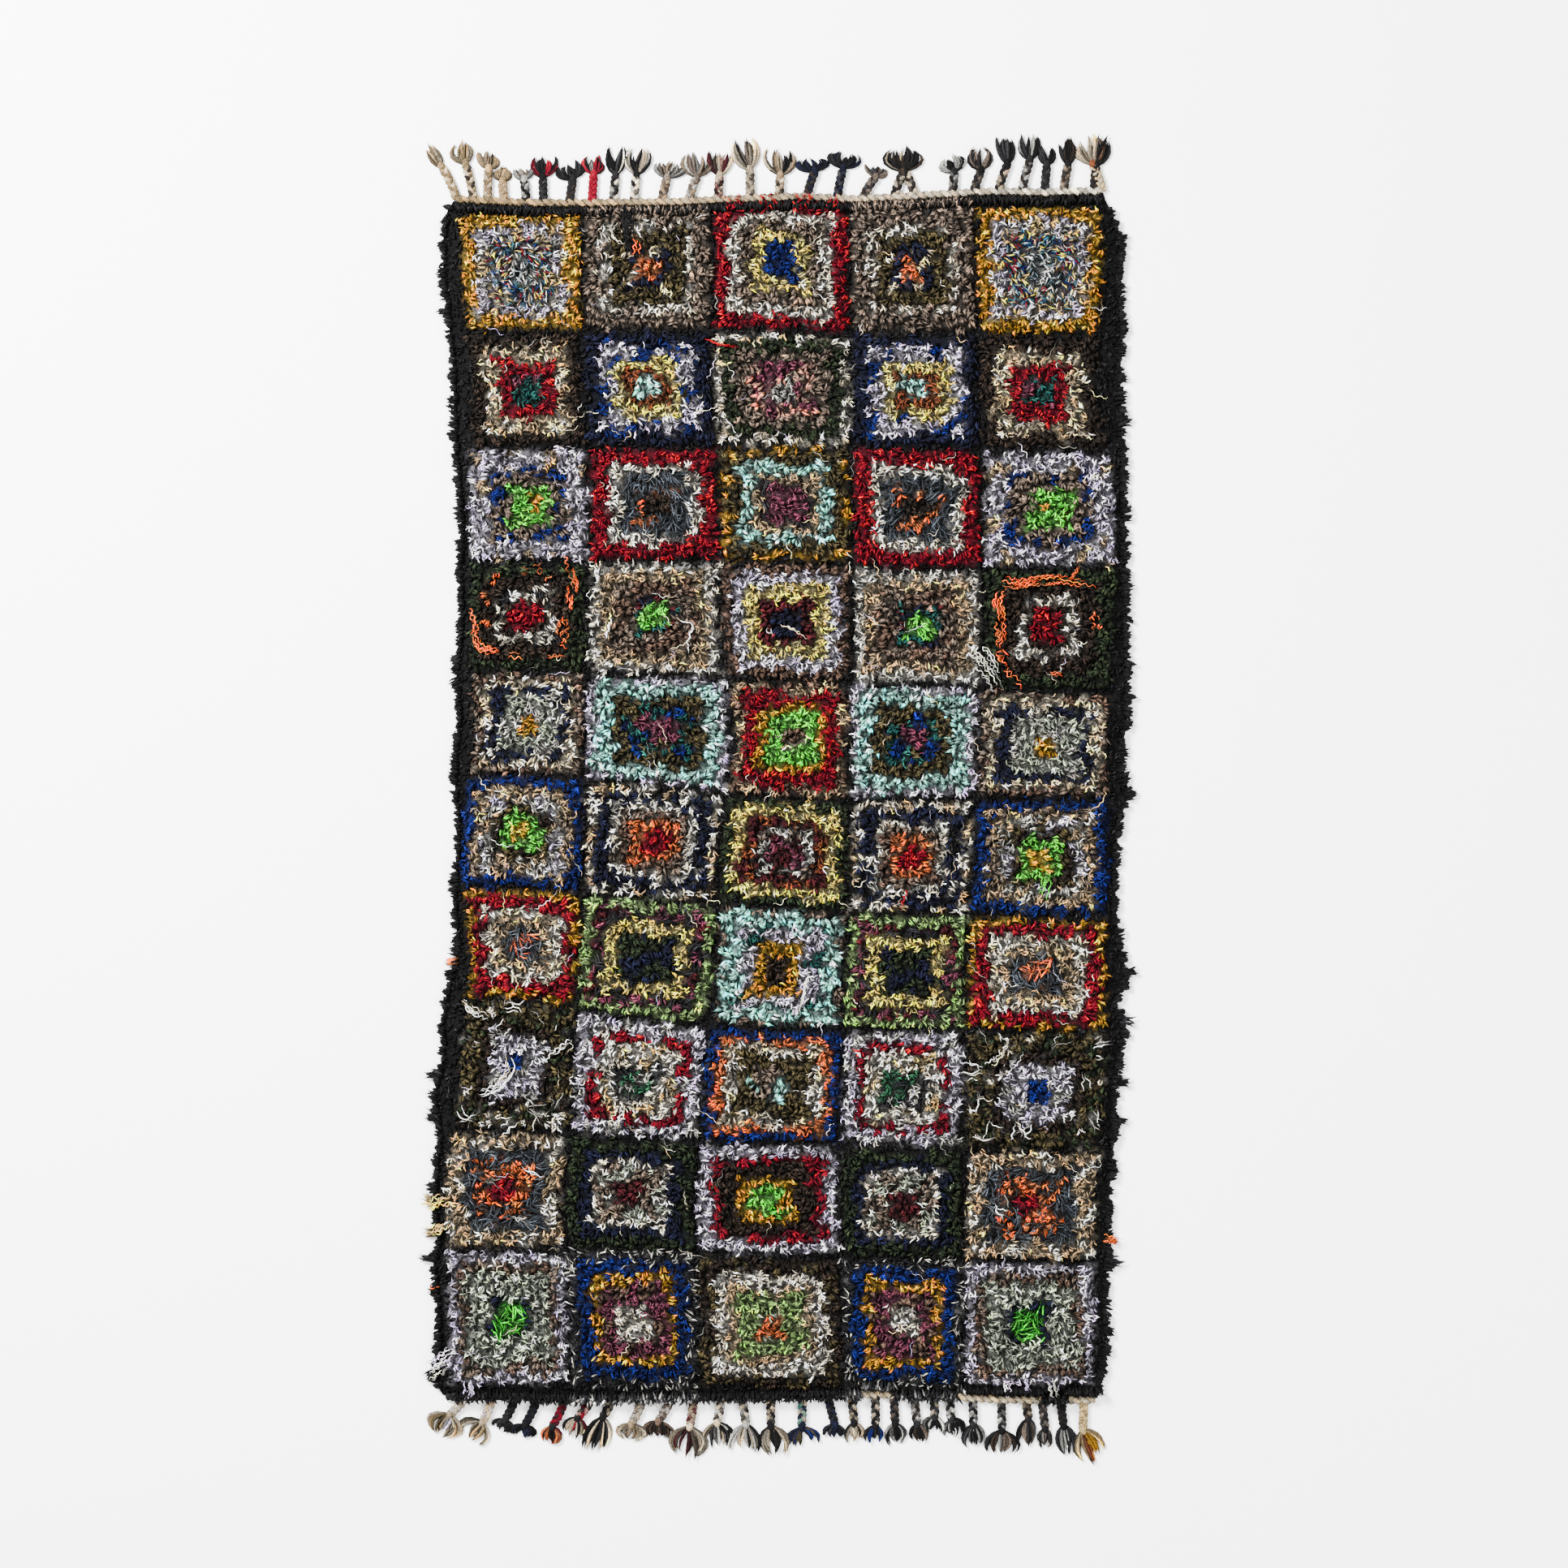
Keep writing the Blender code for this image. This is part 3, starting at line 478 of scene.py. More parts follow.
# The rug's side edges and its ends at the cords, as in the solid
Edge = namedtuple("Edge", "y left right")
EDGES = (
    Edge(1074, -578, 583), Edge(1062, -590, 590), Edge(1040, -600, 600), Edge(990, -605, 620),
    Edge(920, -604, 611), Edge(845, -594, 620), Edge(760, -587, 613), Edge(615, -582, 618),
    Edge(480, -571, 622), Edge(410, -576, 623), Edge(320, -572, 625), Edge(235, -581, 626),
    Edge(150, -577, 628), Edge(62, -583, 612), Edge(10, -583, 630), Edge(-45, -577, 611),
    Edge(-112, -580, 606), Edge(-198, -586, 604), Edge(-264, -576, 612), Edge(-315, -590, 625),
    Edge(-372, -603, 603), Edge(-405, -607, 622), Edge(-460, -605, 615), Edge(-532, -621, 603),
    Edge(-605, -611, 604), Edge(-677, -619, 595), Edge(-750, -619, 592), Edge(-793, -614, 593),
    Edge(-837, -622, 589), Edge(-895, -616, 588), Edge(-980, -612, 590), Edge(-1025, -624, 580),
    Edge(-1048, -616, 579), Edge(-1068, -604, 573),
)
End = namedtuple("End", "x top bottom")
ENDS = (
    End(-600, 1062, -1062), End(-460, 1055, -1061), End(-375, 1054, -1066), End(-190, 1056, -1064),
    End(-90, 1061, -1062), End(40, 1066, -1059), End(140, 1061, -1057), End(290, 1070, -1060),
    End(380, 1075, -1066), End(480, 1073, -1068), End(600, 1077, -1067),
)

# Seams between the columns of squares, one line for each row of squares
Seams = namedtuple("Seams", "outer_left left middle_left middle_right right outer_right")
COLUMN_SEAMS = (
    Seams(-571, -352, -119, 125, 348, 580), Seams(-551, -349, -119, 130, 358, 566),
    Seams(-557, -336, -105, 130, 362, 609), Seams(-558, -344, -106, 130, 362, 602),
    Seams(-547, -348, -80, 123, 355, 587), Seams(-577, -348, -109, 128, 344, 594),
    Seams(-551, -360, -113, 116, 334, 587), Seams(-577, -368, -138, 112, 331, 589),
    Seams(-600, -387, -151, 109, 328, 568), Seams(-592, -371, -145, 116, 329, 566),
)
# Lines between the rows of squares, one for each seam from the top: height in each column
Lines = namedtuple("Lines", "column_1 column_2 column_3 column_4 column_5")
ROW_SEAMS = (
    Lines(1044, 1056, 1077, 1054, 1060), Lines(831, 835, 831, 828, 824),
    Lines(625, 625, 628, 625, 619), Lines(420, 422, 422, 407, 410),
    Lines(225, 219, 207, 204, 190), Lines(41, 22, -3, -3, 1),
    Lines(-162, -180, -196, -210, -215), Lines(-358, -399, -413, -413, -419),
    Lines(-593, -612, -616, -625, -629), Lines(-803, -809, -819, -822, -828),
    Lines(-1051, -1054, -1061, -1057, -1054),
)

# Locks that stand out furthest: side, place along the rug, reach past the rim, and yarn
RimLock = namedtuple("RimLock", "side y reach yarn")
RIM_LOCKS = (
    RimLock(-1, 870, 17, "black"), RimLock(-1, -500, 22, "black"), RimLock(-1, -575, 20, "black"),
    RimLock(-1, -720, 24, "straw"), RimLock(-1, -774, 22, "straw"), RimLock(-1, -826, 26, "black"),
    RimLock(-1, -990, 10, "black"), RimLock(-1, -293, 14, "orange"), RimLock(-1, -880, 8, "orange"),
    RimLock(1, 668, 14, "black"), RimLock(1, 180, 14, "black"), RimLock(1, -312, 20, "black"),
    RimLock(1, -400, 22, "charcoal"), RimLock(1, -508, 24, "black"), RimLock(1, -572, 26, "black"),
    RimLock(1, -792, 16, "orange"), RimLock(1, -826, 30, "charcoal"), RimLock(1, -946, 12, "black"),
)

# Long locks that stand out from the pile: yarn, strands, spread to either side, the part of the lock
# that each strand covers, and places along it
Lock = namedtuple("Lock", "yarn strands spread part places")
LOCKS = (
    Lock("orange", 19, 8, 0.24, ((-386, 450), (-376, 427), (-373, 400),
                                 (-367, 381), (-371, 355), (-373, 332))),
    Lock("orange", 16, 11, 0.24, ((-379, 322), (-385, 297), (-389, 276), (-374, 268))),
    Lock("orange", 16, 8, 0.24, ((-551, 339), (-541, 316), (-547, 293),
                                 (-534, 268), (-500, 256), (-452, 252))),
    Lock("orange", 8, 11, 0.24, ((-527, 322), (-525, 296))),
    Lock("orange", 2, 3, 0.9, ((-413, 249), (-379, 254))),
    Lock("orange", 8, 7, 0.24, ((-503, 403), (-511, 389), (-509, 374))),
    Lock("rust", 8, 8, 0.24, ((-466, 405), (-415, 409))),
    Lock("orange", 25, 9, 0.24, ((390, 389), (419, 381), (453, 386), (499, 391), (530, 385), (578, 375))),
    Lock("orange", 22, 9, 0.24, ((404, 378), (390, 347), (394, 322), (396, 284), (388, 258))),
    Lock("orange", 8, 7, 0.24, ((392, 262), (408, 228), (438, 196))),
    Lock("orange", 3, 2, 0.9, ((518, 386), (537, 412))),
    Lock("orange", 12, 9, 0.24, ((563, 338), (566, 297))),
    Lock("orange", 3, 3, 0.9, ((482, 222), (507, 219))),
    Lock("silver", 7, 18, 0.6, ((344, 276), (369, 255), (394, 210))),
    Lock("silver", 6, 16, 0.6, ((352, 232), (374, 214), (390, 180))),
    Lock("white", 2, 1, 0.9, ((0, 310), (25, 300), (54, 282))),
    Lock("white", 2, 2, 0.9, ((-296, 332), (-305, 300), (-312, 280))),
    Lock("white", 2, 2, 0.9, ((-190, 322), (-150, 310), (-162, 275), (-158, 250))),
    Lock("lime", 7, 12, 0.6, ((464, -130), (473, -152), (463, -184))),
    Lock("red", 2, 1, 0.9, ((235, -155), (222, -182), (218, -200))),
    Lock("white", 3, 2, 0.9, ((53, -310), (43, -352), (35, -390))),
    Lock("white", 6, 8, 0.6, ((-562, -357), (-549, -375), (-520, -392), (-496, -406))),
    Lock("white", 9, 12, 0.6, ((-482, -455), (-473, -484), (-498, -518), (-552, -540))),
    Lock("white", 4, 6, 0.6, ((-368, -433), (-402, -459), (-420, -482))),
    Lock("white", 4, 8, 0.6, ((402, -432), (385, -467), (366, -478))),
    Lock("white", 5, 12, 0.6, ((-300, -590), (-282, -560), (-290, -530))),
    Lock("red", 18, 14, 0.3, ((-82, 1046), (-78, 1062), (-82, 1080))),
    Lock("red", 18, 16, 0.3, ((-22, 1050), (-20, 1066), (-24, 1082))),
    Lock("red", 18, 16, 0.3, ((40, 1050), (42, 1068), (46, 1084))),
    Lock("red", 12, 8, 0.3, ((92, 1050), (96, 1068), (90, 1080))),
    Lock("black", 44, 9, 0.4, ((-272, 1062), (-270, 1030), (-266, 990), (-262, 962))),
    Lock("orange", 4, 6, 0.6, ((-255, 1012), (-252, 985), (-258, 960))),
    Lock("long_white", 3, 4, 0.9, ((-300, 1020), (-292, 996), (-270, 985))),
    Lock("red", 3, 2, 0.9, ((-138, 822), (-110, 808), (-60, 800))),
    Lock("straw", 16, 11, 0.5, ((-586, -714), (-606, -719), (-632, -727))),
    Lock("straw", 13, 8, 0.5, ((-586, -762), (-606, -768), (-630, -777))),
    Lock("lilac", 14, 10, 0.5, ((-584, -988), (-606, -1004), (-632, -1020))),
    Lock("silver", 10, 8, 0.5, ((-590, -1012), (-610, -1024), (-628, -1036))),
    Lock("lilac", 16, 10, 0.5, ((-556, -1034), (-556, -1060), (-560, -1086))),
    Lock("orange", 7, 6, 0.5, ((562, -781), (588, -787), (612, -794))),
    Lock("lilac", 5, 6, 0.8, ((404, -1030), (406, -1054), (410, -1074))),
    Lock("lilac", 6, 8, 0.8, ((446, -1030), (448, -1056), (444, -1076))),
    Lock("silver", 5, 8, 0.8, ((482, -1032), (488, -1058), (494, -1078))),
)

# Tassels from left to right: root on the cord, the neck and the brush tip from the root, the
# brush's spread, the yarns of the three plies, and those of the brush
Tassel = namedtuple("Tassel", "root_x neck_x neck_out tip_x tip_out spread plies brush")
TOP_TASSELS = (
    Tassel(-577, -26, 52, -54, 95, 4, "khaki khaki ecru", "khaki ecru"),
    Tassel(-546, -14, 58, -20, 104, 10, "khaki ecru espresso", "khaki ecru khaki"),
    Tassel(-521, 2, 50, 4, 84, 8, "khaki tan ecru", "khaki tan"),
    Tassel(-492, -2, 30, 0, 60, 6, "tan khaki tan", "khaki tan"),
    Tassel(-452, -3, 34, -8, 58, 8, "black black silver", "silver taupe"),
    Tassel(-421, -1, 38, -3, 82, 10, "black charcoal black", "black red charcoal"),
    Tassel(-374, 6, 36, -4, 74, 13, "black charcoal espresso", "black charcoal"),
    Tassel(-334, 3, 44, 6, 84, 9, "red crimson red", "red black red silver"),
    Tassel(-296, 4, 42, 4, 104, 9, "black white black", "black white charcoal black"),
    Tassel(-259, 4, 42, 14, 96, 13, "black white ecru", "black white ecru"),
    Tassel(-209, 9, 36, 14, 74, 14, "taupe tan espresso", "taupe silver tan"),
    Tassel(-161, 14, 36, 13, 86, 13, "tan taupe silver", "taupe tan silver"),
    Tassel(-109, 3, 36, 4, 88, 11, "ecru maroon black", "ecru maroon peach"),
    Tassel(-52, 0, 44, -14, 108, 12, "ecru black ecru", "ecru ecru taupe black"),
    Tassel(0, 2, 32, 6, 90, 14, "tan black ecru", "tan black ecru"),
    Tassel(50, 14, 38, 10, 68, 13, "navy black espresso", "navy black"),
    Tassel(104, 10, 46, 15, 80, 15, "navy black charcoal", "navy charcoal black"),
    Tassel(150, 22, 32, 29, 56, 9, "taupe charcoal espresso", "taupe charcoal"),
    Tassel(206, 16, 38, 14, 90, 17, "espresso ecru black", "espresso black ecru"),
    Tassel(241, -17, 38, -19, 84, 14, "espresso ecru black", "black espresso"),
    Tassel(310, 3, 32, -6, 66, 11, "black espresso silver", "black silver"),
    Tassel(348, 13, 32, 10, 84, 11, "black charcoal taupe", "black taupe"),
    Tassel(392, 16, 42, 10, 104, 7, "black ecru black", "black charcoal"),
    Tassel(434, 14, 50, 8, 112, 9, "black espresso silver", "black charcoal silver"),
    Tassel(474, 4, 42, 4, 82, 6, "black charcoal black", "black charcoal"),
    Tassel(508, 8, 42, 10, 96, 5, "black espresso ecru", "black espresso"),
    Tassel(562, 4, 38, 22, 100, 7, "black espresso black", "black taupe espresso"),
    Tassel(576, -16, 40, -26, 96, 14, "ecru straw ecru", "rust straw ecru straw ecru"),
)
BOTTOM_TASSELS = (
    Tassel(-561, -27, 24, -48, 68, 16, "ecru lilac ecru", "ecru khaki lilac ecru"),
    Tassel(-512, -17, 38, -45, 76, 14, "ecru lilac khaki", "ecru khaki"),
    Tassel(-471, -18, 34, -28, 58, 10, "black charcoal black", "black charcoal"),
    Tassel(-432, -22, 42, -28, 70, 11, "black navy black", "black navy"),
    Tassel(-383, -22, 42, -28, 78, 10, "red black crimson", "black orange red"),
    Tassel(-336, -24, 26, -36, 66, 9, "red ecru black", "black ecru red"),
    Tassel(-299, -16, 26, -34, 92, 11, "black ecru black", "black ecru charcoal"),
    Tassel(-244, -20, 38, -24, 72, 14, "ecru silver taupe", "beige ecru taupe"),
    Tassel(-194, -22, 34, -26, 70, 13, "taupe silver espresso", "cocoa espresso"),
    Tassel(-152, -8, 44, -14, 110, 15, "ecru maroon ecru", "ecru ecru maroon taupe"),
    Tassel(-103, -8, 38, -4, 86, 14, "ecru black silver", "ecru black silver"),
    Tassel(-65, 6, 42, 6, 98, 13, "ecru black silver", "silver ecru black"),
    Tassel(-15, 0, 46, 8, 112, 12, "black ecru charcoal", "black ecru silver"),
    Tassel(42, -2, 50, 4, 86, 14, "teal navy ecru", "navy royal olive"),
    Tassel(88, 12, 46, 9, 72, 9, "navy black charcoal", "navy charcoal"),
    Tassel(130, 4, 44, 2, 84, 8, "black ecru black", "black ecru"),
    Tassel(172, 0, 48, -5, 84, 8, "black ecru charcoal", "black royal charcoal"),
    Tassel(205, 2, 44, 3, 88, 7, "black taupe charcoal", "black silver charcoal"),
    Tassel(242, 4, 44, 9, 80, 7, "black espresso silver", "black taupe espresso"),
    Tassel(277, 1, 30, -2, 62, 8, "black charcoal ecru", "black silver charcoal black"),
    Tassel(305, 2, 34, 14, 68, 9, "black silver black", "charcoal silver black"),
    Tassel(346, 1, 40, 6, 86, 9, "charcoal black silver", "charcoal silver black"),
    Tassel(397, 1, 48, -4, 104, 14, "black silver black", "black espresso silver taupe"),
    Tassel(441, 4, 26, 2, 82, 7, "black ecru espresso", "black taupe charcoal"),
    Tassel(470, 5, 44, 4, 84, 6, "black charcoal taupe", "black silver taupe"),
    Tassel(503, 5, 38, 14, 102, 7, "black espresso black", "black charcoal silver"),
    Tassel(544, -2, 46, 28, 124, 13, "straw khaki straw", "straw khaki rust gold khaki"),
)

# The two ends: side of the rug, tassels, and the yarns of the heading cord from left to right
Fringe = namedtuple("Fringe", "name side tassels cord_yarns")
FRINGES = (
    Fringe("top", 1, TOP_TASSELS, ("khaki", "white")),
    Fringe("bottom", -1, BOTTOM_TASSELS, ("cream", "cream")),
)


def read_shares(text):
    """Pairs of a yarn and its share, which a chart gives in percent."""
    pairs = [item.split() for item in text.split(",")]
    return [(yarn, int(percent) / 100.0) for yarn, percent in pairs]


def linear(colour):
    """Light of a colour in sRGB, from 0 to 1."""
    return np.where(colour <= 0.04045, colour / 12.92, ((colour + 0.055) / 1.055) ** 2.4)


def dye(colour):
    """Base colour of a yarn that looks like a colour in sRGB, out of 255, under the studio's light."""
    light = linear(np.clip(np.asarray(colour, float), 0.0, BRIGHTEST_SEEN) / 255.0)
    light += TONE_BLEND * (light.mean(axis=-1, keepdims=True) - light)
    light = (TONE_HALF * light / (1.0 - light)) ** TONE_POWER
    light += TONE_SPREAD * (light - light.mean(axis=-1, keepdims=True))
    return np.clip(light / STRAND_LIGHT, DARKEST_YARN, BRIGHTEST_YARN)


class Noise:
    """A smooth random field, between about -1 and 1: a sum of waves that run in all directions."""

    WAVES = 14
    SLOWEST = 0.35            # rate of the slowest wave that may be drawn, over the fastest

    def __init__(self, size, seed):
        rng = np.random.default_rng(SEED + seed)
        turn = rng.uniform(0.0, TURN, self.WAVES)
        rate = TURN / size * rng.uniform(self.SLOWEST, 1.0, self.WAVES)
        self.rates = np.stack([rate * np.cos(turn), rate * np.sin(turn)])
        self.phases = rng.uniform(0.0, TURN, self.WAVES)

    def __call__(self, x, y):
        total = np.zeros(np.shape(x))
        for kx, ky, phase in zip(*self.rates, self.phases):
            total += np.sin(kx * x + ky * y + phase)
        return total / np.sqrt(self.WAVES)


LUMPS = Noise(LUMP_SIZE, 1)
FLOW_X = Noise(FLOW_SIZE, 2)
FLOW_Y = Noise(FLOW_SIZE, 3)
WAVER = Noise(RING_WAVER_SIZE, 4)
PATCHES = Noise(PATCH_SIZE, 5)
SHADES = Noise(SHADE_SIZE, 6)
DRIFT_X = Noise(DRIFT_SIZE, 7)
DRIFT_Y = Noise(DRIFT_SIZE, 8)
RIM_LUMPS = Noise(RIM_LUMP_SIZE, 9)
RIM_LEANS = Noise(RIM_LUMP_SIZE, 10)


def column(table, name):
    """One column of a table, as numbers."""
    return np.array([getattr(row, name) for row in table], float)


def read_edge(y, side):
    """The rug's side edge at a place along it."""
    return np.interp(y, column(EDGES, "y")[::-1], column(EDGES, side)[::-1])


def read_end(x, end):
    """The pile's end at a place across the rug."""
    return np.interp(x, column(ENDS, "x"), column(ENDS, end))


def inset_from_sides(x, y):
    """How far inside the side edges a point lies."""
    return np.minimum(x - read_edge(y, "left"), read_edge(y, "right") - x)


def inset(x, y):
    """How far inside the pile's outline a point lies. It is negative outside."""
    along = np.minimum(read_end(x, "top") - y, y - read_end(x, "bottom"))
    return np.minimum(inset_from_sides(x, y), along)


def lines_beside(lines, index):
    """The seams on both sides of each point, of the nearest square where it lies outside them all."""
    near = np.clip(index, 0, len(lines) - 2)[None]
    return np.take_along_axis(lines, near, axis=0)[0], np.take_along_axis(lines, near + 1, axis=0)[0]


def locate(x, y):
    """Column and row of the square at each point, and the place in it from -1 to 1 both ways."""
    seams = np.array(COLUMN_SEAMS, float)
    lines = np.array(ROW_SEAMS, float)
    row_middles = (lines[:-1, MIDDLE_COLUMN] + lines[1:, MIDDLE_COLUMN]) / 2.0
    column_middles = (seams[MIDDLE_ROW, :-1] + seams[MIDDLE_ROW, 1:]) / 2.0
    across = np.stack([np.interp(y, row_middles[::-1], seam) for seam in seams[::-1].T])
    along = np.stack([np.interp(x, column_middles, line) for line in lines])
    col = (across < x).sum(axis=0) - 1
    row = (along > y).sum(axis=0) - 1
    left, right = lines_beside(across, col)
    top, bottom = lines_beside(along, row)
    return col, row, 2.0 * (x - left) / (right - left) - 1.0, 1.0 - 2.0 * (top - y) / (top - bottom)


def ring_reach(u, v):
    """Distance from a square's middle, as a share of half the square, along squares with soft corners."""
    return (np.abs(u) ** ROUNDNESS + np.abs(v) ** ROUNDNESS) ** (1.0 / ROUNDNESS)


def smooth(low, high, value):
    """A soft step from 0 at low to 1 at high."""
    share = np.clip((value - low) / (high - low), 0.0, 1.0)
    return share * share * (3.0 - 2.0 * share)


def lit(least, share):
    """Painted light that grows from its least to 1, used to paint shade into colours."""
    return least + (1.0 - least) * share


def bed_height(x, y):
    """Height of the bed of pile: full inside, low at the rim and in the seams, and lumpy."""
    _, _, u, v = locate(x, y)
    rise = np.sin(np.clip(inset(x, y) / BED_RIM, 0.0, 1.0) * np.pi / 2.0)
    seam = smooth(SEAM_START, 1.0, np.maximum(np.abs(u), np.abs(v)))
    return GROUND_THICKNESS + rise * (BED_HEIGHT + BED_LUMPS * LUMPS(x, y) - SEAM_DIP * seam)


def pick_from_mix(mix, share):
    """Names of a mix's yarns for values from 0 to 1."""
    names, parts = zip(*read_shares(mix))
    return np.array(names)[np.minimum(np.searchsorted(np.cumsum(parts), share), len(names) - 1)]


def choose_yarns(x, y, rng):
    """Name of the yarn at each point."""
    col, row, u, v = locate(x, y)
    shift_u = RING_DRIFT * DRIFT_X(x, y) * (1.0 - u * u)
    shift_v = RING_DRIFT * DRIFT_Y(x, y) * (1.0 - v * v)
    reach = ring_reach(u + shift_u, v + shift_v) + RING_WAVER * WAVER(x, y)
    patch = 0.5 + PATCH_CONTRAST * PATCHES(x, y) + rng.normal(0.0, PATCH_SPECKLE, x.shape)
    to_seam = np.maximum(np.abs(u) / SEAM_ACROSS, np.abs(v) / SEAM_ALONG)
    inside = (col >= 0) & (col < COLUMNS) & (row >= 0) & (row < len(ROWS))
    inside = inside & (to_seam < 1.0 + SEAM_WAVER * WAVER(y, x))
    names = np.full(x.shape, "black", dtype=object)
    for (r, c), yarn in ROUND_SQUARES.items():
        names[~inside & (row == r) & (col == c)] = yarn
    for r, squares in enumerate(ROWS):
        charts = (squares.outer, squares.inner, squares.middle, squares.inner, squares.outer)
        for c, chart in enumerate(charts):
            here = inside & (row == r) & (col == c)
            for yarn, outer in read_shares(chart):
                ring = here & (reach < outer + (outer == 1.0))
                names[ring] = pick_from_mix(MIXES[yarn], patch[ring]) if yarn in MIXES else yarn
    return names


def yarn_colours(names, x, y, rng, uneven=TUFT_UNEVEN):
    """Colour of each strand, as seen: between its yarn's shades, lighter or darker at random."""
    colours = np.zeros((len(names), 3))
    for name in sorted(set(names)):
        here = names == name
        shades = np.array(YARNS[name].shades, float)
        weights = rng.dirichlet(np.full(len(shades), SHADE_BLEND), here.sum())
        colours[here] = weights @ shades
    light = 1.0 + SHADE_DRIFT * SHADES(x, y) + rng.normal(0.0, uneven, len(names))
    return colours * np.clip(light, *TUFT_LIGHTS)[:, None]


def marled_colours(names, rng):
    """Colours of the strands of marled yarns: each strand has one of its yarn's shades."""
    colours = np.zeros((len(names), 3))
    for name in sorted(set(names)):
        here = names == name
        shades = np.array(YARNS[name].shades, float)
        colours[here] = shades[rng.integers(0, len(shades), here.sum())]
    return colours


Strands = namedtuple("Strands", "x y heading length width curl waves stand bend colour")


def draw_strands(x, y, heading, length, look, rng):
    """Strands of a look, still without colours."""
    count = len(x)
    return Strands(
        x, y, heading, length, width=rng.uniform(*look.width, count), curl=rng.uniform(*look.curl, count),
        waves=rng.uniform(*look.waves, count), stand=rng.uniform(*look.stand, count),
        bend=rng.normal(0.0, look.bend, count), colour=None,
    )


def strand_lines(s, flat, segments, rng):
    """Centre lines of strands that rise from the bed, lean over and lie on it, as strands by rings by 3."""
    t = np.linspace(0.0, 1.0, segments + 1)[None, :]
    heading = s.heading[:, None] + s.bend[:, None] * t
    step = s.length[:, None] / segments
    along = np.cumsum(np.cos(heading) * step, axis=1) - np.cos(heading[:, :1]) * step
    aside = np.cumsum(np.sin(heading) * step, axis=1) - np.sin(heading[:, :1]) * step
    wave = TURN * s.waves[:, None] * t + rng.uniform(0.0, TURN, (len(s.x), 1))
    swing = s.curl[:, None] * np.sin(wave) * np.sqrt(t)
    x = s.x[:, None] + along - np.sin(heading) * swing
    y = s.y[:, None] + aside + np.cos(heading) * swing
    lift = s.stand[:, None] * np.sin(np.pi * (RISE_START + RISE_SPAN * t))
    z = bed_height(x, y) + lift + CURL_RISE * s.curl[:, None] * np.cos(wave) * np.sqrt(t)
    return np.stack([x, y, np.maximum(z, s.width[:, None] * flat / 2.0)], axis=2)


def lie(x, y, rng):
    """Heading of each tuft: outwards in its square, down the rug and along a slow random flow."""
    col, row, u, v = locate(x, y)
    beside = (col < 0) | (col >= COLUMNS)
    past_end = (row < 0) | (row >= len(ROWS))
    v = np.where(past_end, RIM_PULL * np.sign(y), np.where(beside, 0.0, v))
    u = np.where(beside, RIM_PULL * np.sign(x), np.where(past_end, 0.0, u))
    pull_x = OUTWARD * u + FLOW * FLOW_X(x, y)
    pull_y = OUTWARD * v - DOWNWARD + FLOW * FLOW_Y(x, y)
    return np.arctan2(pull_y, pull_x) + rng.normal(0.0, TUFT_TURN, x.shape)


Tufts = namedtuple("Tufts", "x y yarn heading colour")


def make_tufts(rng):
    """The tufts, in rows over the rug, every one moved a little."""
    xs = np.arange(*KNOTS_ACROSS, TUFT_ACROSS)
    ys = np.arange(*KNOTS_ALONG, TUFT_ALONG)
    x, y = np.meshgrid(xs, ys)
    x = x + TUFT_ACROSS / 2.0 * (np.arange(len(ys)) % 2)[:, None]
    x = x.ravel() + rng.uniform(-1.0, 1.0, x.size) * TUFT_JITTER * TUFT_ACROSS
    y = y.ravel() + rng.uniform(-1.0, 1.0, y.size) * TUFT_JITTER * TUFT_ALONG
    inside = (inset_from_sides(x, y) > BED_INSET) & (inset(x, y) > END_INSET)
    x, y = x[inside], y[inside]
    names = choose_yarns(x, y, rng)
    return Tufts(x, y, names, lie(x, y, rng), yarn_colours(names, x, y, rng))


def pile_strands(kind_name, tufts, rng):
    """The strands of the tufts of one shape of yarn, side by side in every tuft."""
    kind = KINDS[kind_name]
    chosen = np.flatnonzero([YARNS[name].kind == kind_name for name in tufts.yarn])
    each = np.floor(kind.strands + rng.random(len(chosen))).astype(int)
    tuft = np.repeat(chosen, each)
    count = len(tuft)
    order = np.arange(count) - np.repeat(np.cumsum(each) - each, each)
    across = 2.0 * (order + rng.random(count)) / np.repeat(each, each) - 1.0
    x = tufts.x[tuft] - TUFT_HALF_WIDTH * across * np.sin(tufts.heading[tuft])
    y = tufts.y[tuft] + TUFT_HALF_WIDTH * across * np.cos(tufts.heading[tuft])
    heading = tufts.heading[tuft] + kind.stray * (TUFT_FAN * across + rng.normal(0.0, TUFT_FAN, count))
    near_rim = smooth(*RIM_ZONE, inset(x, y))
    length = kind.length * rng.uniform(*TUFT_LENGTHS, count) * (1.0 - RIM_SHORTER * near_rim)
    root_x = x - ROOT_SET_BACK * length * np.cos(heading)
    root_y = y - ROOT_SET_BACK * length * np.sin(heading)
    held = inset(root_x, root_y) > BED_INSET
    colour = marled_colours(tufts.yarn[tuft], rng) if kind_name == "marled" else tufts.colour[tuft]
    light = 1.0 + rng.normal(0.0, kind.uneven, count)
    x, y = np.where(held, root_x, x), np.where(held, root_y, y)
    drawn = draw_strands(x, y, heading, length, TUFT_LOOK, rng)
    return drawn._replace(
        width=kind.width * drawn.width, curl=kind.curl * drawn.curl, waves=kind.waves * drawn.waves,
        stand=kind.stand * drawn.stand * (1.0 - RIM_LOWER * near_rim),
        colour=colour * np.clip(light, *STRAND_LIGHTS)[:, None],
    )


def width_profile(segments):
    """Width of a strand from root to tip, as a share: full in the middle and finer to the tip."""
    t = np.linspace(0.0, 1.0, segments + 1)
    swell = MIDDLE_SWELL * np.sin(np.pi * np.minimum(1.0, t * SWELL_PART))
    return (ROOT_WIDTH + swell) * (1.0 - TIP_LOSS * t)


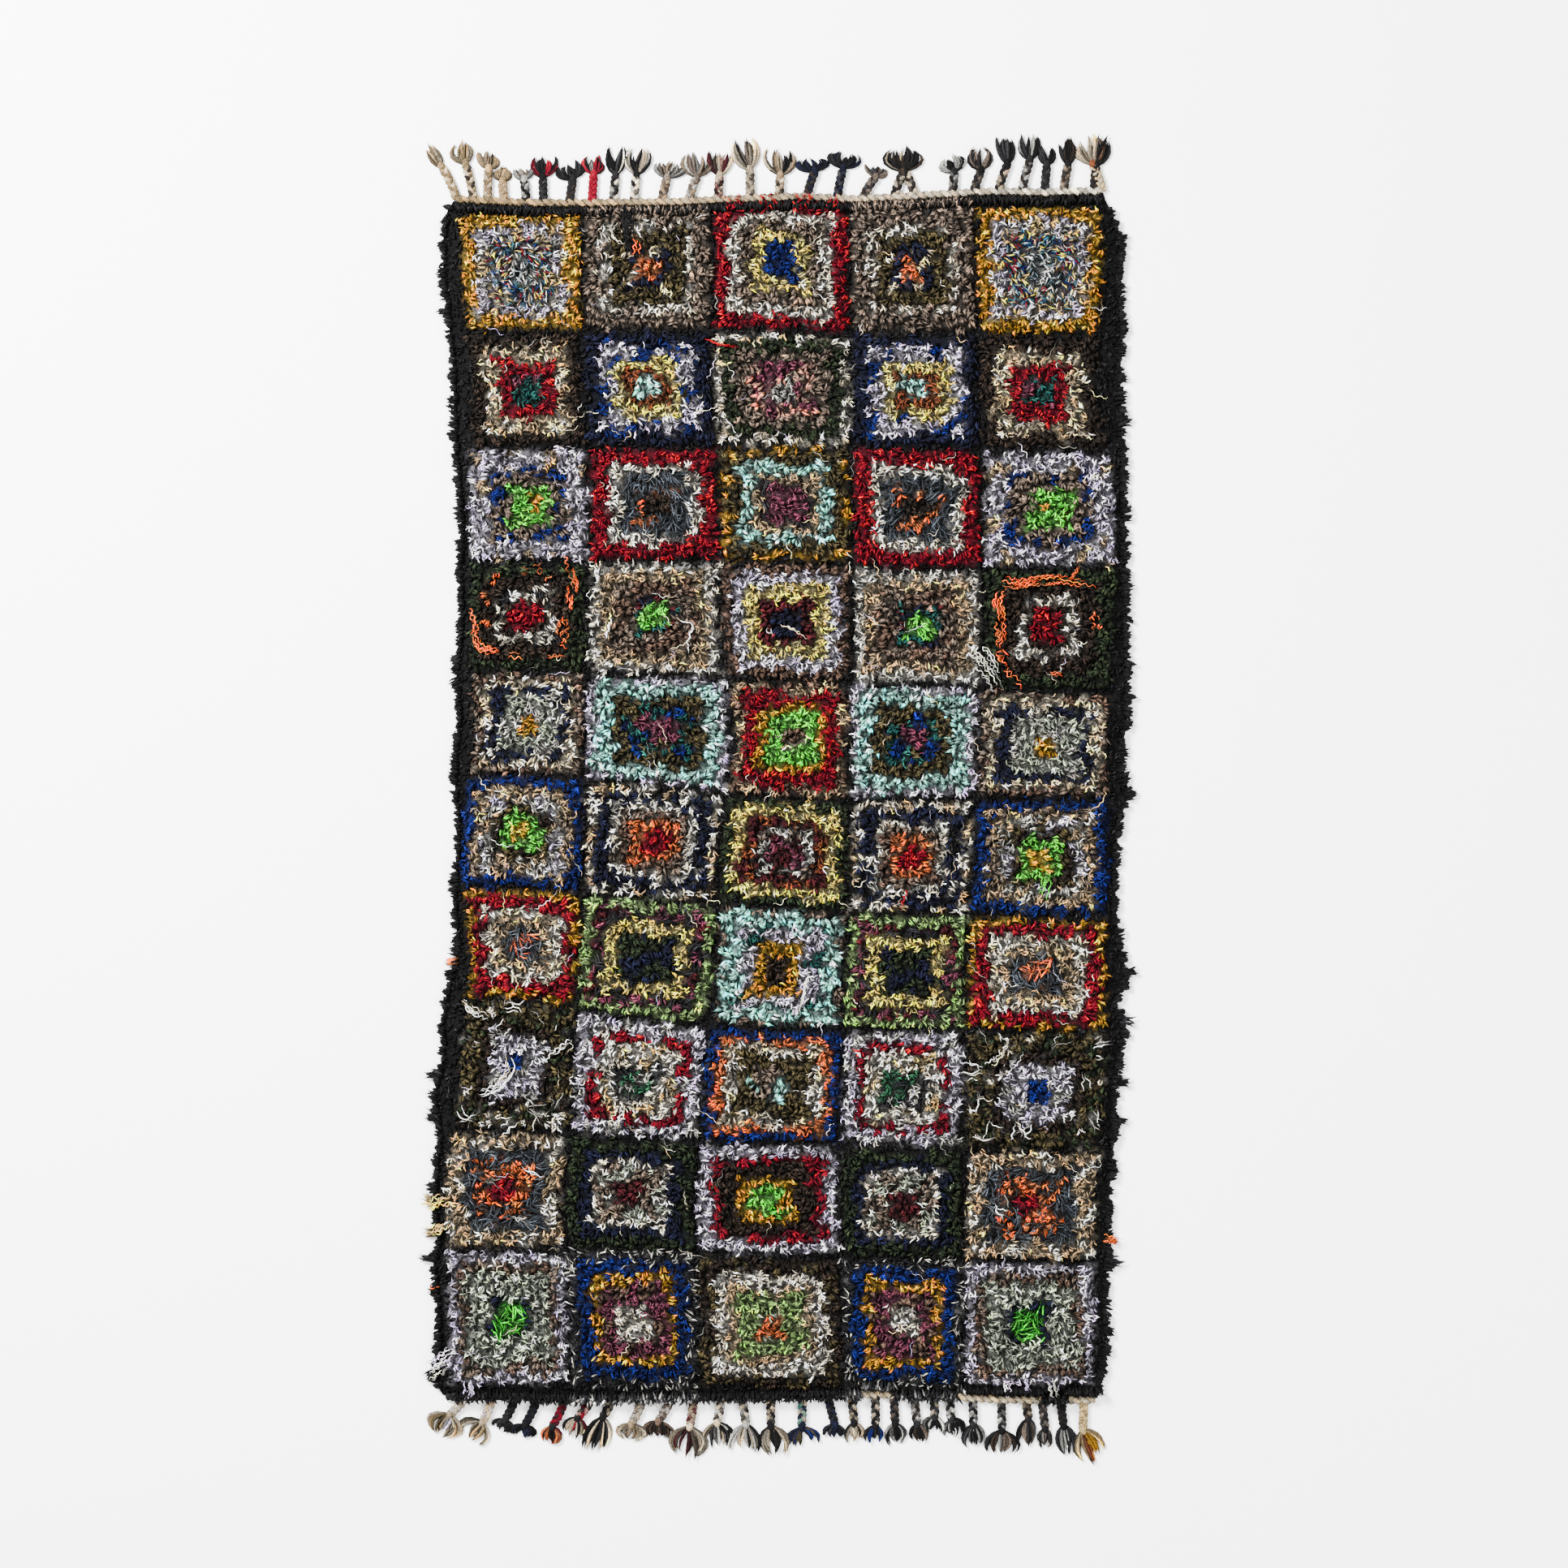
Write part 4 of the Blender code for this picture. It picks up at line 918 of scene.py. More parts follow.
def tube_rings(centres, widths, flat, sides):
    """Points round each ring of each tube, as tubes by rings by sides by 3."""
    ahead = np.gradient(centres, axis=1)
    ahead /= np.maximum(np.linalg.norm(ahead, axis=2, keepdims=True), TINY)
    aside = np.cross(ahead, (0.0, 0.0, 1.0))
    aside /= np.maximum(np.linalg.norm(aside, axis=2, keepdims=True), TINY)
    above = np.cross(aside, ahead)
    turn = TURN / 4.0 + TURN * np.arange(sides) / sides
    out = np.cos(turn)[None, None, :, None] * aside[:, :, None, :]
    up = np.sin(turn)[None, None, :, None] * above[:, :, None, :] * flat
    return centres[:, :, None, :] + widths[:, :, None, None] / 2.0 * (out + up)


def ring_grid(rings, sides):
    """Ring and side of each quad of a tube."""
    grids = np.meshgrid(np.arange(rings - 2), np.arange(sides), indexing="ij")
    return [grid.ravel() for grid in grids]


def tube_faces(tubes, rings, sides):
    """Corner indices of the tubes' faces: quads round each, and triangles to its tip and over its root."""
    r, k = ring_grid(rings, sides)
    after = (k + 1) % sides
    quads = np.stack([r * sides + k, r * sides + after, (r + 1) * sides + after, (r + 1) * sides + k], axis=1)
    last = (rings - 2) * sides
    tip = (rings - 1) * sides
    k = np.arange(sides)
    tips = np.stack([last + k, last + (k + 1) % sides, np.full(sides, tip)], axis=1)
    root = k[::-1][None, :]
    start = np.arange(tubes)[:, None, None] * (tip + 1)
    return [part[None] + start for part in (quads, tips, root)]


def tube_map(tubes, rings, sides):
    """Places of the face corners on a map where each tube has a cell of its own."""
    r, k = ring_grid(rings, sides)
    quads = np.stack([[r, k], [r, k + 1], [r + 1, k + 1], [r + 1, k]]).transpose(2, 0, 1) / (rings, sides)
    k = np.arange(sides)
    last = np.full(sides, rings - 2)
    tips = np.stack([[last, k], [last, k + 1], [last + 1, k + 0.5]]).transpose(2, 0, 1) / (rings, sides)
    root = np.stack([(rings - 1 + ROOT_CELL * (k == 1)) / rings, k / sides], axis=1)[None]
    cells = int(np.ceil(np.sqrt(tubes)))
    cell = np.stack([np.arange(tubes) % cells, np.arange(tubes) // cells], axis=1)[:, None, None, :] / cells
    return [part[None] * (MAP_FILL / cells) + cell + MAP_MARGIN / cells for part in (quads, tips, root)]


def mesh_from_arrays(name, points, faces, maps, colours):
    """A mesh from points in millimetres, groups of faces with equal corner counts, a map and colours."""
    mesh = bpy.data.meshes.new(name)
    corners = np.concatenate([group.ravel() for group in faces])
    totals = np.concatenate([np.full(group.size // group.shape[-1], group.shape[-1]) for group in faces])
    mesh.vertices.add(len(points))
    mesh.vertices.foreach_set("co", (points * MM).astype(np.float32).ravel())
    mesh.loops.add(len(corners))
    mesh.loops.foreach_set("vertex_index", corners.astype(np.int32))
    mesh.polygons.add(len(totals))
    mesh.polygons.foreach_set("loop_start", (np.cumsum(totals) - totals).astype(np.int32))
    mesh.polygons.foreach_set("loop_total", totals.astype(np.int32))
    mesh.update(calc_edges=True)
    mesh.shade_smooth()
    if maps is not None:
        layer = mesh.uv_layers.new(name="OFBake")
        places = np.concatenate([group.reshape(-1, 2) for group in maps])
        layer.data.foreach_set("uv", places.astype(np.float32).ravel())
    tint = mesh.color_attributes.new("yarn_colour", "FLOAT_COLOR", "POINT")
    values = np.concatenate([dye(colours), np.ones((len(colours), 1))], axis=1)
    tint.data.foreach_set("color", values.astype(np.float32).ravel())
    return mesh


def add_piece(name, mesh, material):
    """A piece of the rug, which rides with its one body."""
    piece = bpy.data.objects.new(name, mesh)
    bpy.context.scene.collection.objects.link(piece)
    mesh.materials.append(material)
    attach(piece, "root")
    return piece


def make_tubes(name, centres, widths, flat, colours, sides, material):
    """One piece of many tubes. Each tapers to a point at its end, and colours has one for each ring."""
    centres, colours = np.array(centres), np.array(colours)
    tubes, rings = centres.shape[:2]
    body = tube_rings(centres, widths, flat, sides)[:, :-1].reshape(tubes, -1, 3)
    points = np.concatenate([body, centres[:, -1:]], axis=1).reshape(-1, 3)
    points[:, 2] = np.maximum(points[:, 2], LOWEST_POINT)
    tints = np.concatenate([np.repeat(colours[:, :-1], sides, axis=1), colours[:, -1:]], axis=1)
    faces = tube_faces(tubes, rings, sides)
    mesh = mesh_from_arrays(name, points, faces, tube_map(tubes, rings, sides), tints.reshape(-1, 3))
    return add_piece(name, mesh, material)


def tubes_from_strands(name, strands, flat, segments, material, rng):
    """One piece of strands, darker at their roots with painted shade."""
    lines = strand_lines(strands, flat, segments, rng)
    widths = strands.width[:, None] * width_profile(segments)[None, :]
    # painted shade: the colour darkens towards each strand's root
    light = lit(PAINTED_ROOT_LIGHT, smooth(0.0, PAINTED_ROOT_SHADE_PART, np.linspace(0.0, 1.0, segments + 1)))
    colours = strands.colour[:, None, :] * light[None, :, None]
    return make_tubes(name, lines, widths, flat, colours, STRAND_SIDES, material)


def triangles_per_strand(segments):
    """Two for each quad, one for each side at its tip, and one over its root."""
    return 2 * STRAND_SIDES * (segments - 1) + STRAND_SIDES + 1


def make_pile(material, rng):
    """All the tufts, one or more pieces for each shape of yarn."""
    tufts = make_tufts(rng)
    pieces = []
    for kind_name, kind in KINDS.items():
        strands = pile_strands(kind_name, tufts, rng)
        parts = int(np.ceil(len(strands.x) * triangles_per_strand(kind.segments) / MOST_TRIANGLES))
        for i, group in enumerate(np.array_split(np.arange(len(strands.x)), parts)):
            part = Strands(*[values[group] for values in strands])
            name = "pile_{}_{}".format(kind_name, i + 1)
            pieces.append(tubes_from_strands(name, part, kind.flat, kind.segments, material, rng))
    return pieces


def make_rim_locks(material, rng):
    """Black tufts that lean out over the side rims, each drawn to a point, and the furthest locks."""
    places = np.arange(*RIM_STRETCH, RIM_PITCH)
    side = np.concatenate([np.full(len(places), -1.0), np.full(len(places), 1.0), column(RIM_LOCKS, "side")])
    y = np.concatenate([places, places, column(RIM_LOCKS, "y")])
    y = y + rng.uniform(-RIM_SHIFT, RIM_SHIFT, len(y))
    lumps = RIM_LUMP * RIM_LUMPS(y, RIMS_APART * side)
    reach = RIM_REACH + lumps + rng.normal(0.0, RIM_STRAY, len(side))
    reach[2 * len(places):] = column(RIM_LOCKS, "reach")
    names = np.array(["black"] * 2 * len(places) + [lock.yarn for lock in RIM_LOCKS], dtype=object)
    tip_y = y + RIM_LEAN * RIM_LEANS(y, RIMS_APART * side)
    side, y, tip_y, reach, names = [
        np.repeat(values, RIM_STRANDS) for values in (side, y, tip_y, reach, names)
    ]
    rim = np.where(side > 0, read_edge(y, "right"), read_edge(y, "left"))
    x = rim - side * RIM_DEPTH * rng.uniform(*RIM_DEPTHS, len(y))
    across = rng.uniform(-1.0, 1.0, len(y))
    y = y + RIM_HALF_WIDTH * across
    ahead_x = rim + side * reach - x
    ahead_y = tip_y + RIM_TIP_HALF_WIDTH * across - y
    length = np.hypot(ahead_x, ahead_y) * rng.uniform(*RIM_LENGTHS, len(y))
    strands = draw_strands(x, y, np.arctan2(ahead_y, ahead_x), length, RIM_LOOK, rng)
    strands = strands._replace(colour=yarn_colours(names, x, y, rng, KINDS["black"].uneven))
    return tubes_from_strands("rim_locks", strands, RIM_FLAT, RIM_SEGMENTS, material, rng)


def end_pile_strands(pile, rng):
    """Black strands at one end that lean out over its heading cord."""
    x = np.arange(*END_PILE_STRETCH, END_PILE_PITCH)
    x = x + rng.uniform(-END_PILE_SHIFT, END_PILE_SHIFT, len(x))
    reach = rng.uniform(*pile.reach, len(x))
    for left, right in BARE_CORD:
        reach[(pile.end == "bottom") & (x > left) & (x < right)] *= BARE_REACH
    length = END_PILE_LENGTH * rng.uniform(*END_PILE_LENGTHS, len(x))
    lean = rng.normal(0.0, END_PILE_LEAN, len(x))
    y = read_end(x, pile.end) + pile.side * (reach - length * np.cos(lean))
    names = np.full(len(x), "black", dtype=object)
    for stretch in END_YARNS:
        here = (pile.end == stretch.end) & (x > stretch.left) & (x < stretch.right)
        names[here & (rng.random(len(x)) < stretch.part)] = stretch.yarn
    strands = draw_strands(x, y, pile.side * np.pi / 2.0 + lean, length, pile.look, rng)
    return strands._replace(colour=yarn_colours(names, x, y, rng, KINDS["black"].uneven))


def make_end_pile(material, rng):
    """The black pile over both heading cords."""
    ends = [end_pile_strands(pile, rng) for pile in END_PILES]
    strands = Strands(*[np.concatenate(values) for values in zip(*ends)])
    return tubes_from_strands("end_pile", strands, END_PILE_FLAT, END_PILE_SEGMENTS, material, rng)


def along_places(places, share):
    """Points along a line through places, at shares of its length, and the length."""
    places = np.array(places, float)
    steps = np.hypot(*np.diff(places, axis=0).T)
    reached = np.concatenate([[0.0], np.cumsum(steps)]) / steps.sum()
    return np.interp(share, reached, places[:, 0]), np.interp(share, reached, places[:, 1]), steps.sum()


def make_locks(material, rng):
    """The long locks: curly strands side by side over the pile, each along a part of its lock."""
    centres, colours = [], []
    t = np.linspace(0.0, 1.0, LOCK_SEGMENTS + 1)
    start, span = LOCK_RISE
    for lock in LOCKS:
        for _ in range(lock.strands):
            reach = lock.part * rng.uniform(*LOCK_PARTS)
            x, y, length = along_places(lock.places, rng.uniform(0.0, 1.0 - reach) + reach * t)
            turn = TURN * (length * reach / rng.uniform(*LOCK_WAVES) * t + rng.random())
            aside = rng.uniform(-1.0, 1.0) * lock.spread + rng.uniform(*LOCK_CURL) * np.sin(turn)
            ahead = np.stack([np.gradient(x), np.gradient(y)])
            ahead /= np.maximum(np.hypot(*ahead), TINY)
            x, y = x - ahead[1] * aside, y + ahead[0] * aside
            lift = rng.uniform(*LOCK_STAND) * np.sin(np.pi * (start + span * t))
            centres.append(np.stack([x, y, bed_height(x, y) + lift + np.cos(turn)], axis=1))
            colours.append(np.repeat(shade_of(lock.yarn, 1, rng, LOCK_UNEVEN), len(t), axis=0))
    widths = LOCK_WIDTH * rng.uniform(*LOCK_WIDTHS, (len(centres), 1)) * width_profile(LOCK_SEGMENTS)
    return make_tubes("long_locks", centres, widths, LOOSE_FLAT, colours, STRAND_SIDES, material)


def make_strays(material, rng):
    """Long thin strands of light yarn that lie in loose waves over the pile and its seams."""
    x, y = [], []
    for lines, seams, counts in zip(ROW_SEAMS, COLUMN_SEAMS, STRAYS_IN_ROWS):
        for c, count in enumerate(counts):
            x.append(rng.uniform(seams[c], seams[c + 1], count))
            y.append(lines[c] - rng.uniform(0.0, 1.0, count) * STRAY_ROW_HEIGHT)
    x, y = np.concatenate(x), np.concatenate(y)
    names = rng.choice(np.array(STRAY_YARNS, dtype=object), len(x))
    shortest, longest = STRAY_LENGTH
    length = rng.uniform(0.0, 1.0, len(x)) ** 2 * (longest - shortest) + shortest
    heading = rng.normal(-np.pi / 2.0, STRAY_TURN, len(x))
    drawn = draw_strands(x, y, heading, length, STRAY_LOOK, rng)
    colour = yarn_colours(names, x, y, rng)
    strands = drawn._replace(width=STRAY_WIDTH * drawn.width, waves=length / drawn.waves, colour=colour)
    return tubes_from_strands("stray_strands", strands, LOOSE_FLAT, STRAY_SEGMENTS, material, rng)


def shade_of(name, count, rng, uneven):
    """Colours of one yarn, for so many strands."""
    return yarn_colours(np.full(count, name, dtype=object), np.zeros(count), np.zeros(count), rng, uneven)


def fringe_colours_in_painted_shade(name, count, rng, uneven=FRINGE_UNEVEN):
    """The same for the cords and tassels, darkened with painted shade because they lie open to the light."""
    return FRINGE_PAINTED_SHADE * shade_of(name, count, rng, uneven)


def cord_middle(fringe, x):
    """Place of the heading cord's middle at a place across the rug."""
    return read_end(x, fringe.name) + fringe.side * (CORD_GAP + CORD_WIDTH / 2.0)


def make_cord(fringe, material, rng):
    """A twined heading cord, whose yarn changes from left to right."""
    edge_y = getattr(ENDS[0], fringe.name)
    left = read_edge(edge_y, "left") + CORD_WIDTH
    right = read_edge(edge_y, "right") - CORD_WIDTH / 2.0
    x = np.arange(left, right, CORD_STEP)
    share = ((x - left) / (right - left))[None, :, None]
    turn = TURN * x / CORD_TURN + np.array([[0.0], [np.pi]])
    y = cord_middle(fringe, x) + CORD_SWING * np.cos(turn)
    z = CORD_WIDTH / 2.0 - CORD_SETTLE + CORD_RISE * CORD_SWING * np.sin(turn)
    centres = np.stack([np.broadcast_to(x, y.shape), y, z], axis=2)
    first, last = [fringe_colours_in_painted_shade(yarn, 2, rng)[:, None] for yarn in fringe.cord_yarns]
    # painted shade: each ply is darker where it turns low, with random unevenness on top
    light = lit(CORD_PAINTED_SHADE, smooth(*CORD_PAINTED_SHADE_TURN, np.sin(turn))) + rng.normal(0.0, CORD_UNEVEN, turn.shape)
    colours = ((1.0 - share) * first + share * last) * np.clip(light, *CORD_LIGHTS)[:, :, None]
    if fringe.name == "bottom":
        bare = np.any([(x > low) & (x < high) for low, high in BARE_CORD], axis=0)
        colours[:, ~bare] = fringe_colours_in_painted_shade("black", 1, rng)
    widths = np.full(y.shape, CORD_PLY)
    return make_tubes(fringe.name + "_cord", centres, widths, CORD_FLAT, colours, CORD_SIDES, material)


def braid_path(fringe, tassel, share):
    """Places along a braid's middle, from the cord to its neck."""
    x = tassel.root_x + tassel.neck_x * share ** BRAID_BEND
    y = cord_middle(fringe, tassel.root_x) + fringe.side * (tassel.neck_out + CORD_WIDTH / 2.0) * share
    return np.stack([x, y, np.full(share.shape, BRAID_LEVEL)], axis=1)


def across_path(path):
    """Directions at right angles to a path, along the floor."""
    ahead = np.gradient(path, axis=0)
    aside = np.stack([-ahead[:, 1], ahead[:, 0], np.zeros(len(path))], axis=1)
    return aside / np.linalg.norm(aside, axis=1, keepdims=True)


def make_braids(fringe, material, rng):
    """The plaited part of every tassel: each ply swings from side to side and over the next."""
    share = np.linspace(0.0, 1.0, BRAID_STEPS)
    centres, colours = [], []
    for tassel in fringe.tassels:
        path = braid_path(fringe, tassel, share)
        aside = across_path(path)
        turns = np.hypot(tassel.neck_x, tassel.neck_out) / BRAID_TURN
        plies = [fringe_colours_in_painted_shade(yarn, 1, rng) for yarn in tassel.plies.split()]
        for i, colour in enumerate(plies):
            turn = TURN * (turns * share + i / len(plies))
            offset = aside * (BRAID_SWING * np.sin(turn))[:, None]
            offset[:, 2] = BRAID_RISE * np.sin(2.0 * turn)
            centres.append(path + offset)
            flecks = BRAID_FLECKS * rng.random((BRAID_STEPS, 1)) ** 2
            colours.append(colour + flecks * (plies[i - 1] - colour))
    widths = np.full((len(centres), BRAID_STEPS), BRAID_PLY)
    return make_tubes(fringe.name + "_braids", centres, widths, BRAID_FLAT, colours, BRAID_SIDES, material)


def make_knots(fringe, material, rng):
    """The round knot at each braid's neck."""
    centres, colours = [], []
    along, widths = np.array(KNOT_PROFILE).T
    for tassel in fringe.tassels:
        neck = braid_path(fringe, tassel, np.array([1.0]))[0]
        ahead_y = fringe.side * (tassel.tip_out - tassel.neck_out)
        aim = np.array([tassel.tip_x - tassel.neck_x, ahead_y, 0.0])
        aim = aim / np.linalg.norm(aim)
        centres.append(neck + aim * along[:, None])
        colours.append(np.repeat(fringe_colours_in_painted_shade(tassel.brush.split()[0], 1, rng), len(along), axis=0))
    widths = np.tile(widths, (len(centres), 1))
    return make_tubes(fringe.name + "_knots", centres, widths, KNOT_FLAT, colours, KNOT_SIDES, material)


def brush_aim(fringe, tassel, neck):
    """The way from a neck to its brush's tips, no further than the longest tassel of the solid."""
    half_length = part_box("top_fringe")[1].y / MM
    root_y = cord_middle(fringe, tassel.root_x) + fringe.side * CORD_WIDTH / 2.0
    tip_y = fringe.side * min(abs(root_y) + tassel.tip_out, half_length)
    return np.array([tassel.root_x + tassel.tip_x, tip_y, 0.0]) - neck * (1.0, 1.0, 0.0)


def make_brushes(fringe, material, rng):
    """The brush of loose ends beyond each knot, lying on the floor."""
    t = np.linspace(0.0, 1.0, len(BRUSH_WIDTHS))[:, None]
    centres, colours = [], []
    for tassel in fringe.tassels:
        neck = braid_path(fringe, tassel, np.array([1.0]))[0]
        aim = brush_aim(fringe, tassel, neck)
        aside = np.array([-aim[1], aim[0], 0.0]) / np.linalg.norm(aim)
        yarns = tassel.brush.split()
        flare = np.sin(rng.uniform(*BRUSH_CLOSE) * np.pi * t) ** BRUSH_FLARE_POWER
        opening = BRUSH_ROOT + BRUSH_FLARE * tassel.spread * flare
        middles = (2.0 * np.arange(BRUSH_FINGERS) + 1.0) / BRUSH_FINGERS - 1.0
        middles = middles + rng.uniform(-FINGER_PLACE, FINGER_PLACE, BRUSH_FINGERS)
        curls = rng.normal(0.0, FINGER_CURL, BRUSH_FINGERS)
        reaches = rng.uniform(*FINGER_REACH, BRUSH_FINGERS)
        for i in range(BRUSH_STRANDS):
            finger = i % BRUSH_FINGERS
            place = middles[finger] + FINGER_SPREAD * rng.uniform(-1.0, 1.0) * (1.0 - FINGER_CLOSE * t)
            swing = rng.uniform(*BRUSH_SWING)
            swing = swing * np.sin(TURN * (t * rng.uniform(*BRUSH_WAVES) + rng.random())) * t
            line = neck + aim * reaches[finger] * rng.uniform(*BRUSH_REACHES) * t
            line = line + aside * (place * opening + swing + curls[finger] * t * t)
            top = rng.uniform(*BRUSH_TOPS) * (1.0 - BRUSH_CROWN * middles[finger] ** 2)
            line[:, 2] = neck[2] + (top - neck[2]) * smooth(0.0, BRUSH_FALL, t[:, 0])
            centres.append(line)
            yarn = yarns[(finger + (rng.random() < BRUSH_MIX)) % len(yarns)]
            # painted shade: each strand is darker towards its root
            colours.append(fringe_colours_in_painted_shade(yarn, 1, rng, BRUSH_UNEVEN) * lit(BRUSH_PAINTED_ROOT_LIGHT, t))
    widths = np.array(BRUSH_WIDTHS) * rng.uniform(*BRUSH_SPREAD, (len(centres), 1))
    return make_tubes(fringe.name + "_brushes", centres, widths, BRUSH_FLAT, colours, STRAND_SIDES, material)


def make_fringe(fringe, material, rng):
    """One end's heading cord with its tassels, in place of the solid."""
    cord = make_cord(fringe, material, rng)
    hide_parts(fringe.name + "_fringe")
    return [cord] + [make(fringe, material, rng) for make in (make_braids, make_knots, make_brushes)]


def grid_between_edges(cell, margin, end_margin):
    """Places of a grid fitted to the pile's outline, with margins inside it: rows by columns."""
    columns = int(FIELD_WIDTH / cell) + 1
    rows = int(FIELD_LENGTH / cell) + 1
    across, along = np.meshgrid(np.linspace(0.0, 1.0, columns), np.linspace(0.0, 1.0, rows))
    x = FIELD_WIDTH * across - FIELD_WIDTH / 2.0
    for _ in range(GRID_ROUNDS):
        low = read_end(x, "bottom") + end_margin
        high = read_end(x, "top") - end_margin
        y = low + along * (high - low)
        left = read_edge(y, "left") + margin
        right = read_edge(y, "right") - margin
        x = left + across * (right - left)
    return x, y


def grid_faces(rows, columns):
    """Corner indices of a grid's quads."""
    i = np.arange((rows - 1) * (columns - 1))
    corner = i // (columns - 1) * columns + i % (columns - 1)
    return np.stack([corner, corner + 1, corner + columns + 1, corner + columns], axis=1)


def sheet_colours(x, y, rng, light):
    """Colours of the knots over a grid's points, darkened to a share of their own; for the bed this is
    painted shade.
    """
    names = choose_yarns(x.ravel(), y.ravel(), rng)
    return yarn_colours(names, x.ravel(), y.ravel(), rng) * light


def make_bed(material, rng):
    """The bed of pile: the tufts' roots, packed, as one lumpy surface, darkened with painted shade for the
    gaps between the tufts.
    """
    x, y = grid_between_edges(BED_CELL, BED_INSET, -BED_UNDER_CORD)
    points = np.stack([x, y, bed_height(x, y)], axis=2).reshape(-1, 3)
    colours = sheet_colours(x, y, rng, BED_PAINTED_LIGHT)
    mesh = mesh_from_arrays("pile_bed", points, [grid_faces(*x.shape)], None, colours)
    return add_piece("pile_bed", mesh, material)


def make_ground(material, rng):
    """The woven ground, a closed sheet that shows the knots' colours on its underside."""
    x, y = grid_between_edges(GROUND_CELL, GROUND_INSET, END_INSET)
    low = np.stack([x, y, np.full(x.shape, GROUND_LIFT)], axis=2).reshape(-1, 3)
    high = low + (0.0, 0.0, GROUND_THICKNESS)
    top = grid_faces(*x.shape)
    index = np.arange(x.size).reshape(x.shape)
    rim = np.concatenate([index[0, :-1], index[:-1, -1], index[-1, :0:-1], index[:0:-1, 0]])
    after = np.roll(rim, -1)
    walls = np.stack([rim, after, after + x.size, rim + x.size], axis=1)
    colours = np.tile(sheet_colours(x, y, rng, GROUND_LIGHT), (2, 1))
    faces = [top[:, ::-1], top + x.size, walls]
    mesh = mesh_from_arrays("woven_ground", np.concatenate([low, high]), faces, None, colours)
    return add_piece("woven_ground", mesh, material)


def new_material(name):
    """A material with its nodes and links."""
    material = bpy.data.materials.new(name)
    material.use_nodes = True
    return material, material.node_tree.nodes, material.node_tree.links


def set_inputs(node, values):
    """Sets a node's own inputs, by their names."""
    for name, value in values.items():
        node.inputs[name].default_value = value
    return node


def finish_yarn(nodes, links, relief, roughness, painted_shade, bump):
    """Matt yarn in its piece's own colours, darker and lower where the relief is low: painted shade in the
    dips between fibres or threads, and bumps.
    """
    shader = set_inputs(nodes["Principled BSDF"], {"Roughness": roughness, "Specular IOR Level": SPECULAR})
    tint = nodes.new("ShaderNodeAttribute")
    tint.attribute_name = "yarn_colour"
    # painted shade: the relief scales the colour, darker where it is low
    shade = set_inputs(nodes.new("ShaderNodeMapRange"), painted_shade)
    mix = nodes.new("ShaderNodeVectorMath")
    mix.operation = "SCALE"
    height = set_inputs(nodes.new("ShaderNodeBump"), bump)
    links.new(relief, shade.inputs["Value"])
    links.new(tint.outputs["Color"], mix.inputs[0])
    links.new(shade.outputs["Result"], mix.inputs["Scale"])
    links.new(mix.outputs["Vector"], shader.inputs["Base Color"])
    links.new(relief, height.inputs["Height"])
    links.new(height.outputs["Normal"], shader.inputs["Normal"])


def yarn_material(finish):
    """Yarn whose colour is broken by painted shade for the fine shadows between its fibres."""
    material, nodes, links = new_material(finish.name)
    place = nodes.new("ShaderNodeTexCoord")
    fibres = nodes.new("ShaderNodeTexNoise")
    set_inputs(fibres, {"Scale": finish.speckle_scale, "Detail": FIBRE_DETAIL})
    links.new(place.outputs["Object"], fibres.inputs["Vector"])
    bump = {"Strength": FIBRE_BUMP, "Distance": finish.bump_height}
    finish_yarn(nodes, links, fibres.outputs["Fac"], PILE_ROUGHNESS, FIBRE_PAINTED_SHADE, bump)
    return material


def woven_material(name):
    """The ground's weave: wefts over warps, in the knots' colours, with painted shade in its dips."""
    material, nodes, links = new_material(name)
    place = nodes.new("ShaderNodeTexCoord")
    weave = nodes.new("ShaderNodeMath")
    weave.operation = "MULTIPLY"
    for i, (direction, scale) in enumerate((("X", WARP_SCALE), ("Y", WEFT_SCALE))):
        wave = nodes.new("ShaderNodeTexWave")
        wave.bands_direction = direction
        set_inputs(wave, {"Scale": scale, "Distortion": WEAVE_DISTORTION})
        links.new(place.outputs["Object"], wave.inputs["Vector"])
        links.new(wave.outputs["Fac"], weave.inputs[i])
    finish_yarn(nodes, links, weave.outputs["Value"], WEAVE_ROUGHNESS, WEAVE_PAINTED_SHADE, WEAVE_BUMP)
    return material


